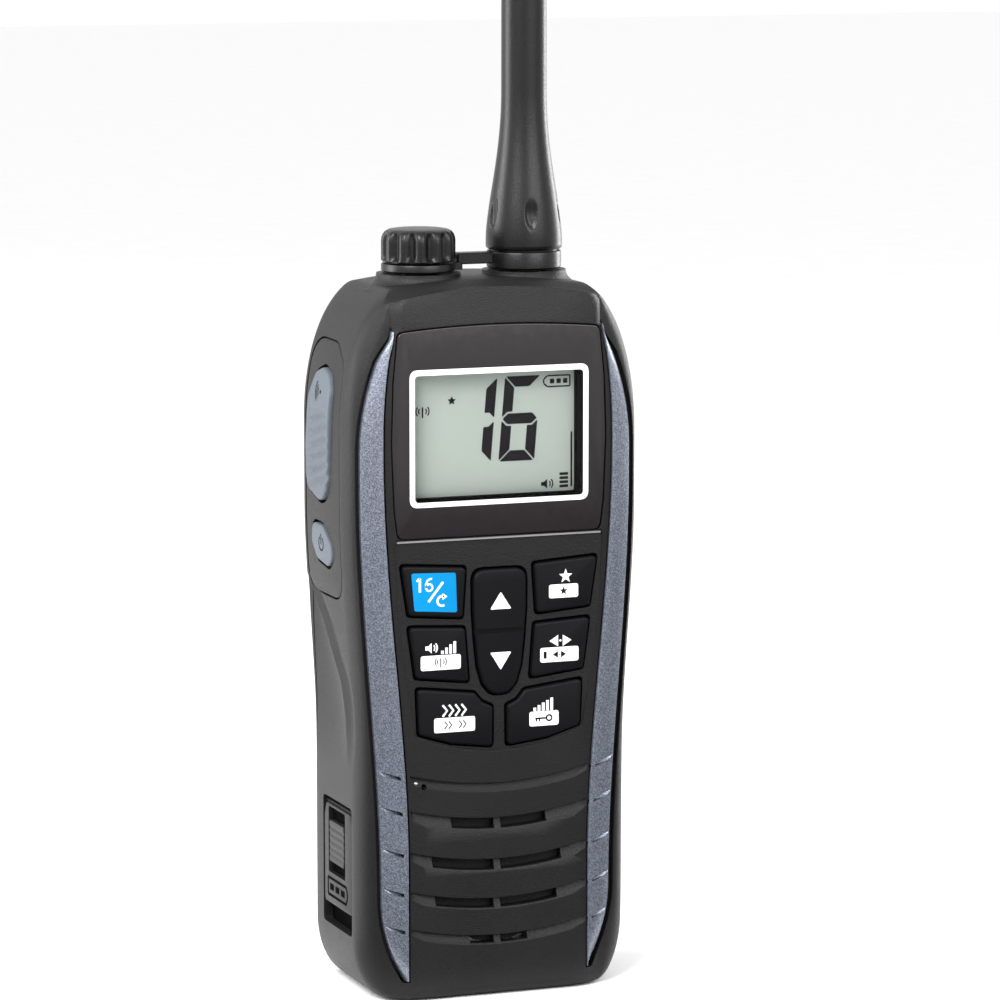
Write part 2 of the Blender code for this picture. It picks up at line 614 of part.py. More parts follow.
def make_electronics():
    board = add_object("main_board", block((-21.4, -4.6, 9.2), (21.4, -3.4, 107.0)), BOARD)
    for number, x in enumerate((-20.2, 20.2)):
        subtract(board, f"board_hole_{number}", rod((x, -6, 12.0), 4, 0.8, "Y", 8))
    shield = add_object("rf_shield", block((-14, -3.1, 36), (14, 0.5, 78)), STEEL)
    subtract(shield, "shield_hollow", block((-13.6, -4, 36.4), (13.6, 0.1, 77.6)))
    add_object("contact_block", block((-8, -3.1, 86), (8, 2.2, 92)), PAPER)


def make_battery():
    half = BAY_HALF_WIDTH - GAP
    low = BAY_LOW + GAP
    high = BAY_HIGH - GAP
    lid_front = 12.2
    case = add_object("battery_case", block((-half, 2.6, low), (half, lid_front - GAP, high)), CASING)
    subtract(case, "cell_room", block((-half + 1.2, 3.8, low + 1.2), (half - 1.2, 20, high - 1.2)))
    lid = add_object("battery_lid", block((-half, lid_front, low), (half, HALF_DEPTH, high)), CASING)
    subtract(lid, "latch_pocket", block((-7.4, 13.9, 13.0), (7.4, 20, 19.8)))
    add_object("battery_cell", block((-17, 4.2, 26), (17, 11.5, 78)), CELL)
    add_object("battery_board", block((-17, 5.0, 82), (17, 6.2, 94)), BOARD)
    add_object("battery_latch", block((-7, 14.2, 13.3), (7, 15.9, 17.0)), BUTTON, origin=(0, 15, 15.2))


def make_belt_clip():
    back = HALF_DEPTH + GAP
    axle = (0, CLIP_AXIS_Y, CLIP_AXIS_Z)
    base = add_object("clip_base", block((-11, back, 70), (11, back + 1.8, 92)), CASING)
    for side in (-1, 1):
        ear_low = (min(side * 8.4, side * 10.6), back + 1.5, CLIP_AXIS_Z - 2.6)
        ear_high = (max(side * 8.4, side * 10.6), CLIP_AXIS_Y + 2.0, CLIP_AXIS_Z + 2.6)
        unite(base, f"ear_{side}", block(ear_low, ear_high))
    subtract(base, "ear_bore", rod((-12, CLIP_AXIS_Y, CLIP_AXIS_Z), 24, 1.06, "X", 16))
    for number, z in enumerate((73.5, 89.0)):
        subtract(base, f"clip_screw_seat_{number}", rod((0, back + 0.9, z), 4, 2.3, "Y", 16))
        subtract(base, f"clip_screw_pass_{number}", rod((0, 10, z), 10, 1.3, "Y", 10))
        head_top = back + 1.9
        head_low = back + 1.2
        screw = [(0, head_top), (1.9, head_top), (1.9, head_low), (1.0, head_low), (1.0, 15.3), (0, 15.3)]
        turned(("clip_screw_lower", "clip_screw_upper")[number], screw, (0, 0, z), STEEL, "Y", steps=12)
    arm_outline = [
        (8.0, 94.5), (8.0, 80), (10.0, 76), (9.0, 40), (6.0, 26), (-6.0, 26), (-9.0, 40), (-10.0, 76),
        (-8.0, 80), (-8.0, 94.5),
    ]
    arm = add_object("belt_clip", prism(arm_outline, 22.6, 24.8), CASING, origin=axle)
    for side in (-1, 1):
        low = (min(side * 5.4, side * 7.9), CLIP_AXIS_Y - 1.9, CLIP_AXIS_Z - 2.2)
        high = (max(side * 5.4, side * 7.9), 23.0, CLIP_AXIS_Z + 2.2)
        unite(arm, f"knuckle_{side}", block(low, high))
    unite(arm, "hook", block((-6, 20.9, 25.6), (6, 23.0, 28.0)))
    subtract(arm, "arm_bore", rod((-12, CLIP_AXIS_Y, CLIP_AXIS_Z), 24, 1.06, "X", 16))
    add_object("clip_pin", rod((-10.6, CLIP_AXIS_Y, CLIP_AXIS_Z), 21.2, 1.0, "X", 16), STEEL)
    coil = [(1.9, 5.0), (1.9, -5.0), (1.3, -5.0), (1.3, 5.0)]
    turned("clip_spring", coil, axle, STEEL, "X", steps=16, closed=True)


make_front_case()
make_rear_case()
make_casing_trims()
make_display()
make_keys()
make_side_controls()
make_charge_cover()
make_jack_cap()
make_antenna()
make_sound()
make_electronics()
make_battery()
make_belt_clip()
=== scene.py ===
import json
from math import cos, exp, pi, radians, sin, sqrt, tan

import bmesh
import bpy
from mathutils import Matrix, Vector


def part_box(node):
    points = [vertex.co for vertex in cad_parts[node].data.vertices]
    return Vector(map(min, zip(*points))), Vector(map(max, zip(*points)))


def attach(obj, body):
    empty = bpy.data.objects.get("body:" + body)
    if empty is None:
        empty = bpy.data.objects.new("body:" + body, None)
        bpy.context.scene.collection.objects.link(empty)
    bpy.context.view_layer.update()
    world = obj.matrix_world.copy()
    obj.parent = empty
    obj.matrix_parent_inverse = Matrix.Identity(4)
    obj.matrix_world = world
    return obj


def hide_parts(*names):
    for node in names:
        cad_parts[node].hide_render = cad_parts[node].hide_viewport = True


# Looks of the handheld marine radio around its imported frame. Shapes are drawn in millimetres and turned
# into metres where their meshes are made. X points to the right seen from the front, the front faces -Y.

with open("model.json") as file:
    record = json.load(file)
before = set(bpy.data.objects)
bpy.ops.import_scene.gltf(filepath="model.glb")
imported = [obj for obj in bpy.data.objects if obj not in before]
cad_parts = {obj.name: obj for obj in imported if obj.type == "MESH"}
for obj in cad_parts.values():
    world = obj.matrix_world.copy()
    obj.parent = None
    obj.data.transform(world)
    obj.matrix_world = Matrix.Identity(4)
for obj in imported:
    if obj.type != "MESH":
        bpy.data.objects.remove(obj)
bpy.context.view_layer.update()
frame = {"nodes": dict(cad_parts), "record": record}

MM = 0.001


def node_box(name):
    low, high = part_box(name)
    return Vector(low) / MM, Vector(high) / MM


# Casing, as in the frame
HALF_DEPTH = -node_box("front_case")[0].y
SPLIT_Y = node_box("front_case")[1].y
PEDESTAL_TOP = node_box("front_case")[1].z
CHEST_HALF_WIDTH = 28.3
WAIST_HALF_WIDTH = 26.2
WALL = 2.2
CAVITY_TOP = 127.8
GAP = 0.3
SHOULDER_START = 105.0
SHOULDER_HEIGHT = 28.0
FOOT_CORNER_HEIGHT = 11.5
FOOT_CORNER_WIDTH = 6.4
BASE_ROUND = 2.5
BACK_TOP_ROUND = 5.0
BEVEL_DROP = 1.75
BAND_DROP = 0.5
CORNER_DEPTH = 5.0
REAR_CORNER = 4.0
BROW_START = 124.0
BROW_LEAN = 0.15
BROW_HALF_WIDTH = 20.3

# Front
LENS_RECESS = 1.2
KEY_FRONT = 15.64
PRINT_HEIGHT = 0.04
SLOT_CURVE = 0.0076
KEY_FIELD_DEPTH = 0.35

# How far the cutters reach: heights before the middle plane, and x values on the left
PAST_FRONT = 20
THROUGH_FRONT = (10, 19.5)
PAST_LEFT = -32
THROUGH_LEFT = (PAST_LEFT, -16)

# Top and back
cap_low, cap_high = node_box("jack_cap")
boot_low, boot_high = node_box("antenna_boot")
CAP_X = (cap_low.x + cap_high.x) / 2
ANTENNA_X = (boot_low.x + boot_high.x) / 2
LOOP_TOP = 134.1
RING_TOP = node_box("cap_tether")[1].z


# Mesh helpers, all in millimetres

def loft(rings, cyclic=False):
    """Skins a stack of point rings of equal length, closed by end faces or into a loop."""
    bm = bmesh.new()
    loops = [[bm.verts.new(point) for point in ring] for ring in rings]
    pairs = list(zip(loops, loops[1:]))
    if cyclic:
        pairs.append((loops[-1], loops[0]))
    else:
        bm.faces.new(loops[0])
        bm.faces.new(loops[-1])
    count = len(rings[0])
    for first, second in pairs:
        for i in range(count):
            j = (i + 1) % count
            bm.faces.new((first[i], first[j], second[j], second[i]))
    return facing_out(bm)


def mesh_of(name, bm):
    mesh = bpy.data.meshes.new(name)
    bm.to_mesh(mesh)
    bm.free()
    return mesh


def linked(name, data):
    """A new object in the scene."""
    made = bpy.data.objects.new(name, data)
    bpy.context.scene.collection.objects.link(made)
    return made


def joined(parts):
    """One mesh from several that don't overlap."""
    whole = bmesh.new()
    for part in parts:
        mesh = mesh_of("part", part)
        whole.from_mesh(mesh)
        bpy.data.meshes.remove(mesh)
    return whole


def less(*parts):
    return [("DIFFERENCE", part) for part in parts]


def plus(*parts):
    return [("UNION", part) for part in parts]


def carved(base, *steps):
    """The base mesh after a row of (operation, mesh) Booleans."""
    target = linked("target", mesh_of("target", base))
    others = []
    for operation, bm in steps:
        step = target.modifiers.new("carve", "BOOLEAN")
        step.operation = operation
        step.solver = "EXACT"
        step.object = linked("tool", mesh_of("tool", bm))
        others.append(step.object)
    graph = bpy.context.evaluated_depsgraph_get()
    shaped = bpy.data.meshes.new_from_object(target.evaluated_get(graph))
    result = bmesh.new()
    result.from_mesh(shaped)
    for gone in (target, *others):
        mesh = gone.data
        bpy.data.objects.remove(gone, do_unlink=True)
        bpy.data.meshes.remove(mesh)
    bpy.data.meshes.remove(shaped)
    return result


def piece(name, bm, body, slot, surface, *nodes, sharp=32):
    """Makes a finished piece that rides on a body and stands for the given frame nodes."""
    bmesh.ops.scale(bm, vec=(MM, MM, MM), verts=bm.verts)
    mesh = mesh_of(name, bm)
    mesh.shade_smooth()
    mesh.set_sharp_from_angle(angle=radians(sharp))
    mesh.materials.clear()
    mesh.materials.append(surface)
    made = linked(name, mesh)
    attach(made, body)
    if nodes:
        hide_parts(*nodes)


def corners_of(outline):
    """Each point between the one before and the one after it, round a closed outline."""
    points = [Vector(point) for point in outline]
    return zip(points[-1:] + points, points, points[1:] + points[:1])


def grown(outline, distance):
    """The outline with each side moved outwards by a distance."""
    if not distance:
        return list(outline)
    area = sum(a[0] * b[1] - b[0] * a[1] for a, b in zip(outline, outline[1:] + outline[:1]))
    sign = 1 if area > 0 else -1
    moved = []
    for before, here, after in corners_of(outline):
        along_in = (here - before).normalized()
        along_out = (after - here).normalized()
        normal_in = Vector((along_in.y, -along_in.x)) * sign
        normal_out = Vector((along_out.y, -along_out.x)) * sign
        middle = (normal_in + normal_out).normalized()
        moved.append(tuple(here + middle * distance / middle.dot(normal_in)))
    return moved


def rounded(outline, radius, steps=5):
    """The outline with its corners rounded off."""
    straight = radians(172)
    result = []
    for before, here, after in corners_of(outline):
        back = before - here
        ahead = after - here
        angle = back.angle(ahead)
        if angle > straight:
            result.append(tuple(here))
            continue
        reach = min(radius / tan(angle / 2), 0.46 * back.length, 0.46 * ahead.length)
        start = here + back.normalized() * reach
        end = here + ahead.normalized() * reach
        for k in range(steps + 1):
            t = k / steps
            result.append(tuple(start * (1 - t) ** 2 + here * 2 * t * (1 - t) + end * t * t))
    return result


def quarter(steps, first=0):
    """(1 - cosine, sine) at even steps of a quarter turn."""
    turns = [pi / 2 * k / steps for k in range(first, steps + 1)]
    return [(1 - cos(turn), sin(turn)) for turn in turns]


def soft_levels(low, high, radius, steps=4):
    """(growth, height) levels of a plate whose outer edge is rounded."""
    return [(0.0, low)] + [(-radius * drop, high - radius * (1 - rise)) for drop, rise in quarter(steps)]


def plate(outline, levels, place, cuts=()):
    """A plate built up from grown copies of an outline, then cut into strips and put in place.

    The outline is (u, v) and the levels are (growth, height). place turns (u, v, height) into (x, y, z),
    and cuts lists the v values where faces are split so that they can bend.
    """
    bm = loft([[(u, v, height) for u, v in grown(outline, growth)] for growth, height in levels])
    for direction, values in zip(((0, 1, 0), (1, 0, 0)), cuts):
        for value in values:
            everything = bm.verts[:] + bm.edges[:] + bm.faces[:]
            point = Vector(direction) * value
            bmesh.ops.bisect_plane(bm, geom=everything, plane_co=point, plane_no=direction, dist=0.0001)
    for vert in bm.verts:
        vert.co = place(*vert.co)
    return facing_out(bm)


def facing_out(bm):
    bmesh.ops.recalc_face_normals(bm, faces=bm.faces)
    if bm.calc_volume(signed=True) < 0:
        bmesh.ops.reverse_faces(bm, faces=bm.faces)
    return bm


def on_front(u, v, height):
    return (u, -height, v)


def on_back(u, v, height):
    return (u, height, v)


def on_left(u, v, height):
    return (-half_width(v) - height, u, v)


def across_x(u, v, height):
    return (height, u, v)


def on_top(u, v, height):
    return (u, v, height)


def prism(outline, low, high, place=on_front):
    return plate(outline, [(0, low), (0, high)], place)


def block(low, high):
    return prism(rectangle(low[0], high[0], low[1], high[1]), low[2], high[2], on_top)


def turned(profile, centre=(0, 0, 0), axis="Z", steps=48, shape=None):
    """Turns a closed (radius, height) profile about an axis; shape may move each point."""
    rings = []
    for number in range(steps):
        angle = 2 * pi * number / steps
        ring = [(shape(radius, height, angle) if shape else radius, height) for radius, height in profile]
        rings.append([(radius * cos(angle), radius * sin(angle), height) for radius, height in ring])
    bm = loft(rings, cyclic=True)
    bmesh.ops.remove_doubles(bm, verts=bm.verts, dist=0.0005)
    turn = {"X": Matrix.Rotation(pi / 2, 4, "Y"), "Y": Matrix.Rotation(-pi / 2, 4, "X")}
    if axis in turn:
        bmesh.ops.transform(bm, matrix=turn[axis], verts=bm.verts)
    bmesh.ops.translate(bm, vec=centre, verts=bm.verts)
    return facing_out(bm)


def rod(start, length, radius, axis="Z", steps=32):
    return turned([(0, 0), (radius, 0), (radius, length), (0, length)], start, axis, steps)


def mirrored(outline):
    return [(-u, v) for u, v in reversed(outline)]


def rectangle(left, right, low, high):
    return [(left, low), (right, low), (right, high), (left, high)]


def spread(low, high, step):
    count = max(round((high - low) / step), 1)
    return [low + (high - low) * k / count for k in range(count + 1)]


def stroke(points, width):
    """The outline of a line drawn with a pen of a width."""
    left = []
    right = []
    for before, here, after in zip(points[:1] + points, points, points[1:] + points[-1:]):
        along = (Vector(after) - Vector(before)).normalized()
        side = Vector((-along.y, along.x)) * width / 2
        left.append(tuple(Vector(here) + side))
        right.append(tuple(Vector(here) - side))
    return left + right[::-1]


def arc(u, v, radius, start, end, steps=12):
    angles = [radians(start + (end - start) * k / steps) for k in range(steps + 1)]
    return [(u + radius * cos(a), v + radius * sin(a)) for a in angles]


# Casing shape

def smooth_step(low, high, value):
    share = min(max((value - low) / (high - low), 0.0), 1.0)
    return share * share * (3 - 2 * share)


def half_width(z):
    """Half of the casing's width at a height: a waist, a wider chest, round shoulders and round feet."""
    width = WAIST_HALF_WIDTH + (CHEST_HALF_WIDTH - WAIST_HALF_WIDTH) * smooth_step(45, 90, z)
    if z > SHOULDER_START:
        share = min((z - SHOULDER_START) / SHOULDER_HEIGHT, 0.975)
        width *= (1 - share * share) ** 0.24
    if z < FOOT_CORNER_HEIGHT:
        share = (FOOT_CORNER_HEIGHT - z) / FOOT_CORNER_HEIGHT
        width -= FOOT_CORNER_WIDTH * (1 - sqrt(max(1 - share * share, 0)))
    return width


def trim_inner(z):
    return 17.5 + 4.6 * smooth_step(25, 100, z) - 0.0055 * max(z - 104, 0) ** 2


def trim_outer(z):
    edge = 22.3 + 3.8 * smooth_step(20, 95, z)
    return edge - 0.01156 * max(z - 101, 0) ** 2 - 0.0192 * max(19 - z, 0) ** 2


def band_width(z):
    """Width of the shallow band between the flat front and the side trims."""
    return 3.1 - 1.9 * smooth_step(62, 100, z)


def base_round(z):
    if z >= BASE_ROUND:
        return 0.0
    share = (BASE_ROUND - z) / BASE_ROUND
    return BASE_ROUND * (1 - sqrt(1 - share * share * 0.98))


def front_y(z):
    return -HALF_DEPTH + base_round(z) + BROW_LEAN * max(z - BROW_START, 0)


def section(z, inset=0.0):
    side = half_width(z) - inset
    front = front_y(z) + inset
    back = HALF_DEPTH - base_round(z) - inset
    outer = min(max(trim_outer(z), BROW_HALF_WIDTH), side - 1.6)
    inner = min(trim_inner(z), outer - 1.0)
    half = [(0.5 * inner, front), (inner - band_width(z), front), (inner, front + BAND_DROP)]
    half.append((outer, front + BEVEL_DROP))
    for drop, reach in quarter(9, 1):
        half.append((outer + (side - outer) * reach, front + BEVEL_DROP + CORNER_DEPTH * drop))
    half += [(side, y) for y in (-4.0, 2.0, 8.0)]
    half += [(side - REAR_CORNER * drop, back - REAR_CORNER * (1 - reach)) for drop, reach in quarter(7)]
    return [(x, y, z) for x, y in half + mirrored(half)]


def casing_form(inset=0.0):
    heights = [BASE_ROUND * drop for drop, reach in quarter(7)]
    heights += spread(3.6, FOOT_CORNER_HEIGHT, 1.4) + spread(14, 102, 3) + spread(104, 121, 1.4)
    heights += spread(122, 132.2, 0.8)
    if inset:
        between = [z for z in heights if inset < z < CAVITY_TOP - 0.1]
        heights = [inset, *between, CAVITY_TOP]
    return loft([section(z, inset) for z in heights])


def deck_height(x, y):
    """Height of the top face: an arched front edge, a shallow valley, and a rounded back edge."""
    arch = 130.75 - 0.0056 * x * x
    level = 131.7 - 0.0040 * x * x
    share = smooth_step(-12.4, -8.6, y)
    dip = 0.3 * exp(-((y + 12.3) / 1.1) ** 2)
    height = arch * (1 - share) + level * share - dip
    drop = max(y - HALF_DEPTH + BACK_TOP_ROUND, 0) / BACK_TOP_ROUND
    return height - BACK_TOP_ROUND * (1 - sqrt(max(1 - drop * drop, 0)))


def lid_form():
    """Everything above the deck."""
    xs = spread(-30, 30, 1.5)
    rings = []
    for y in [-20, -16, *spread(-14.6, -8, 0.5), *spread(-6, 10, 2), *spread(10.4, 15.2, 0.6), 18]:
        ring = [(x, y, deck_height(x, y)) for x in xs]
        rings.append(ring + [(30, y, 150), (-30, y, 150)])
    return loft(rings)


def pedestal(x):
    foot = 129.4
    profile = [(0, 126.0), (8.4, 126.0)]
    for share in spread(0, 1, 0.1):
        profile.append((7.7 + 2.5 * (1 - share) ** 2.2, foot + (PEDESTAL_TOP - foot) * share))
    return turned([*profile, (7.4, PEDESTAL_TOP), (0, PEDESTAL_TOP)], (x, 0, 0), steps=72)


# The crease of the finger scoop as (y, z)
CREASE = [
    (12.6, 76.6), (10.7, 75.7), (7.8, 72), (3.8, 68.4), (0.9, 64.2), (-1.4, 61.4), (-3.7, 58.5),
    (-4.8, 54.9), (-5.4, 51.3), (-5.7, 47.0), (-5.8, 40.0),
]


def crease_y(z):
    for (y_high, z_high), (y_low, z_low) in zip(CREASE, CREASE[1:]):
        if z_low <= z <= z_high:
            return y_low + (y_high - y_low) * (z - z_low) / (z_high - z_low)
    return CREASE[-1][0]


def finger_scoop(side):
    """The hollow below the buttons: a crease with a soft dip before it and a deeper one behind it."""
    rings = []
    for z in spread(40.2, 76.4, 1.2):
        crease = crease_y(z)
        fade = smooth_step(40, 56, z) * min((16.2 - crease) / 8, 1)
        ring = [(crease - 7 * (1 - s), 0.6 * fade * sin(pi * s ** 1.6)) for s in spread(0, 1, 0.125)]
        behind = spread(0.06, 1, 0.1)
        ring += [(crease + (16 - crease) * s, 1.15 * fade * sin(pi * s ** 0.8)) for s in behind]
        skin = [(side * (half_width(z) + 0.03 - depth), y, z) for y, depth in ring]
        outside = side * 34
        rings.append([(outside, ring[0][0], z), *skin, (outside, ring[-1][0], z)])
    return loft(rings)


# Front outlines as (x, z), left-side outlines as (y, z)
def lens_outline():
    arch = [(x, 124.2 - 0.0026 * x * x) for x in spread(19.6, -19.6, -2.8)]
    right = [(19.7, 85.4), (20.4, 91), (20.85, 103), (20.5, 114)]
    return right + arch + mirrored(right)


LEFT_TOP_KEY = [(-18.9, 80.8), (-17.5, 71.65), (-7.2, 70.75), (-6.6, 79.95)]
LEFT_MIDDLE_KEY = [(-17.5, 69.5), (-16.2, 60.1), (-6.03, 58.9), (-6.8, 68.9)]
LEFT_BOTTOM_KEY = [
    (-15.95, 58.1), (-15.6, 49.65), (-9.3, 47.7), (-1.48, 46.7), (-1.4, 54.1), (-3.4, 55.0), (-4.9, 56.8),
]
ROCKER_SIDE = [(5.15, 79.35), (5.1, 72.0), (4.75, 66.8), (4.2, 61.6), (3.2, 58.2), (1.6, 56.35)]
ROCKER = mirrored(ROCKER_SIDE)[::-1] + ROCKER_SIDE[::-1]
KEYS = {
    "key_channel_16": LEFT_TOP_KEY,
    "key_volume": LEFT_MIDDLE_KEY,
    "key_scan": LEFT_BOTTOM_KEY,
    "key_favourite": mirrored(LEFT_TOP_KEY),
    "key_channel": mirrored(LEFT_MIDDLE_KEY),
    "key_power_level": mirrored(LEFT_BOTTOM_KEY),
}
KEY_CORNER = 0.9
ROCKER_CORNER = 2.4
KEY_GAP = 0.42
SIDE_PANEL = [(10.7, 120.4), (-1.5, 120.2), (-8.1, 116.5), (-8.35, 73.8), (10.7, 73.8)]
PANEL_CORNER = 5.0
BUTTON_GAP = 0.6
PTT = [
    (2, 115.5), (-1.8, 114.4), (-3.7, 111.5), (-3.2, 102.5), (-2.3, 94.4), (-0.6, 91.6), (2.2, 91),
    (8.2, 92.6), (9.3, 95), (9.5, 101), (8.2, 110), (5.4, 114.4),
]
POWER = [(6.6, 86.6), (1, 86.5), (-3.4, 83.6), (-4.2, 81), (-1.5, 79.2), (4.4, 80), (7.3, 82.8)]
PTT_SHAPE = rounded(PTT, 3.0, 6)
POWER_SHAPE = rounded(POWER, 2.2, 6)
CHARGE_COVER = [(-7.9, 15.2), (7.6, 15.2), (7.7, 31.5), (6.6, 34.0), (-6.8, 34.0), (-7.9, 31.5)]
CHARGE_POCKET = rectangle(-8.2, 8.0, 11.4, 35.3)
SOCKET_OPENING = ((PAST_LEFT, -3.6, 23.4), (-20, 0.2, 32.1))
LATCH_SLOT = rectangle(-4.2, 5.2, 21.1, 33.5)
LATCH_SLIDER = rectangle(-3.6, 4.6, 23.2, 31.0)

# Speaker grooves: top and bottom at the middle, and the left and right ends of the open part
GROOVES = ((39.9, 38.2, 0, 0), (33.4, 31.1, -9.2, 9.2), (25.7, 23.4, -12.9, 12.2),
           (18.4, 16.3, -12.3, 11.4), (11.5, 9.7, -5.6, 5.6))


def groove_line(z, x):
    return z + SLOT_CURVE * x * x


def groove_cutter(top, bottom, reach, depth, front):
    """A curved groove with a steep upper wall and a floor that rises to its lower edge."""
    rings = []
    for x in spread(-reach, reach, 1.0):
        end = min((reach - abs(x)) / 1.2, 1.0)
        deep = 0.06 + (depth - 0.06) * sqrt(end)
        z_top = groove_line(top, x)
        z_low = groove_line(bottom, x)
        ring = [(-1.0, z_top), (0, z_top), (deep, z_top - 0.12), (deep * 0.8, z_top - 0.45 * (top - bottom)),
                (0, z_low), (-1.0, z_low)]
        rings.append([(x, front + inwards, z) for inwards, z in ring])
    return loft(rings)


def arc_band(low, high, left, right):
    xs = spread(left, right, 1.0)
    lower = [(x, groove_line(low, x)) for x in xs]
    upper = [(x, groove_line(high, x)) for x in reversed(xs)]
    return lower + upper


def trim_strip(growth, outer_growth, low, high):
    """The side trim's solid: a strip between its two edges, which ends in a point above and below."""
    rings = []
    bottom = 3.9 - growth
    top = 123.2 + growth * 2
    for z in [bottom, bottom + 0.5, *spread(6, 120, 2.0), 121.4, 122.4, top]:
        inner = trim_inner(z) - growth
        outer = max(trim_outer(z) + outer_growth, inner + 0.25)
        if z > 119:
            tip = 20.2
            share = (z - 119) / (top - 119)
            inner += (tip - 0.12 - inner) * share
            outer += (tip + 0.12 - outer) * share
        rings.append(strip_ring(inner, outer, z, low, high))
    return loft(rings)


def bevel_y(x, z):
    """Depth of the trim's face, which slopes back from its inner to its outer edge."""
    inner = trim_inner(z)
    share = (x - inner) / max(trim_outer(z) - inner, 0.5)
    return front_y(z) + 0.05 + (BEVEL_DROP - 0.05) * min(max(share, 0), 1.1)


def strip_ring(inner, outer, z, low, high):
    width = outer - inner
    edge = min(0.35, width * 0.3)
    near = [inner, inner + edge * 0.35, inner + edge]
    xs = [*near, inner + width * 0.5, *[inner + outer - x for x in reversed(near)]]
    drops = [0.32, 0.1, 0.0, -0.06, 0.0, 0.1, 0.32]
    face = [(x, bevel_y(x, z) + high + drop, z) for x, drop in zip(xs, drops)]
    floor = [(x, bevel_y(x, z) + low, z) for x in reversed(xs)]
    return face + floor


def mirror_x(bm):
    bmesh.ops.scale(bm, vec=(-1, 1, 1), verts=bm.verts)
    return facing_out(bm)


# Materials

def fill(tree, node, inputs):
    """Links or sets a shader node's inputs."""
    for label, value in inputs.items():
        if isinstance(value, bpy.types.NodeSocket):
            tree.links.new(value, node.inputs[label])
        else:
            node.inputs[label].default_value = value


def add_node(tree, kind, inputs):
    node = tree.nodes.new("ShaderNode" + kind)
    fill(tree, node, inputs)
    return node


def nodes_of(name, roughness, metallic=0.0, coat=0.0, shine=0.5):
    surface = bpy.data.materials.new(name)
    surface.use_nodes = True
    tree = surface.node_tree
    shader = tree.nodes["Principled BSDF"]
    fill(tree, shader, {
        "Roughness": roughness, "Metallic": metallic, "Coat Weight": coat, "Specular IOR Level": shine,
    })
    return surface, tree, shader, add_node(tree, "TexCoord", {}).outputs["Object"]


def noise_of(tree, place, scale, detail):
    return add_node(tree, "TexNoise", {"Vector": place, "Scale": scale, "Detail": detail}).outputs["Fac"]


def ranged(tree, value, low, high, start=0.3, end=0.7):
    remap = {"Value": value, "From Min": start, "From Max": end, "To Min": low, "To Max": high}
    return add_node(tree, "MapRange", remap).outputs["Result"]


def two_tone(tree, value, first, second, start=0.3, end=0.7):
    ramp = add_node(tree, "ValToRGB", {"Fac": value})
    for element, position, colour in zip(ramp.color_ramp.elements, (start, end), (first, second)):
        element.position = position
        element.color = (*colour, 1)
    return ramp.outputs["Color"]


def bump_of(tree, value, strength, depth, soft_edge=0.0):
    bump = add_node(tree, "Bump", {"Height": value, "Strength": strength, "Distance": depth})
    if soft_edge:
        bevel = add_node(tree, "Bevel", {"Radius": soft_edge})
        bevel.samples = 6
        tree.links.new(bevel.outputs["Normal"], bump.inputs["Normal"])
    return bump.outputs["Normal"]


def shaded(colour, share):
    return tuple(min(channel * share, 1) for channel in colour)


def moulded(name, colour, roughness, grain=3200, texture=0.35, vary=0.12, depth=0.0001,
            coat=0.0, soft=0.0, shine=0.3):
    """Moulded or cast material: a fine grain in its relief and gloss, and broad soft changes of colour."""
    surface, tree, shader, place = nodes_of(name, roughness, 0.0, coat, shine)
    fine = noise_of(tree, place, grain, 3)
    broad = noise_of(tree, place, 55, 3)
    fill(tree, shader, {
        "Base Color": two_tone(tree, broad, shaded(colour, 1 - vary), shaded(colour, 1 + vary)),
        "Roughness": ranged(tree, fine, roughness * 0.8, min(roughness * 1.2, 1)),
        "Normal": bump_of(tree, fine, texture, depth, soft),
    })
    return surface


def flaked(name, colour, bright, roughness):
    """Metallic paint: small flakes of different brightness under a clear coat."""
    surface, tree, shader, place = nodes_of(name, roughness, 0.7, 0.25)
    flakes = add_node(tree, "TexVoronoi", {"Vector": place, "Scale": 8500})
    split = add_node(tree, "SeparateColor", {"Color": flakes.outputs["Color"]}).outputs
    fill(tree, shader, {
        "Base Color": two_tone(tree, split["Red"], colour, bright, 0.35, 1.0),
        "Roughness": ranged(tree, split["Green"], roughness, roughness + 0.2, 0, 1),
        "Normal": bump_of(tree, split["Blue"], 0.1, 0.00003),
    })
    return surface


def brushed(name, colour, roughness):
    """Drawn metal: streaks along Z in its gloss and relief."""
    surface, tree, shader, place = nodes_of(name, roughness, 1.0)
    stretch = add_node(tree, "Mapping", {"Vector": place, "Scale": (1, 1, 0.06)})
    streaks = noise_of(tree, stretch.outputs["Vector"], 2600, 2)
    fill(tree, shader, {
        "Base Color": two_tone(tree, streaks, shaded(colour, 0.85), colour),
        "Roughness": ranged(tree, streaks, roughness - 0.06, roughness + 0.1),
        "Normal": bump_of(tree, streaks, 0.12, 0.00003),
    })
    return surface


def woven(name, colour):
    """Cloth whose threads cross as two sets of waves."""
    surface, tree, shader, place = nodes_of(name, 0.85)
    product = add_node(tree, "Math", {})
    product.operation = "MULTIPLY"
    for number, direction in enumerate("XZ"):
        wave = add_node(tree, "TexWave", {"Vector": place, "Scale": 900})
        wave.bands_direction = direction
        tree.links.new(wave.outputs["Fac"], product.inputs[number])
    weave = product.outputs["Value"]
    fill(tree, shader, {
        "Base Color": two_tone(tree, weave, colour, shaded(colour, 2), 0, 1),
        "Normal": bump_of(tree, weave, 0.5, 0.0001),
    })
    return surface


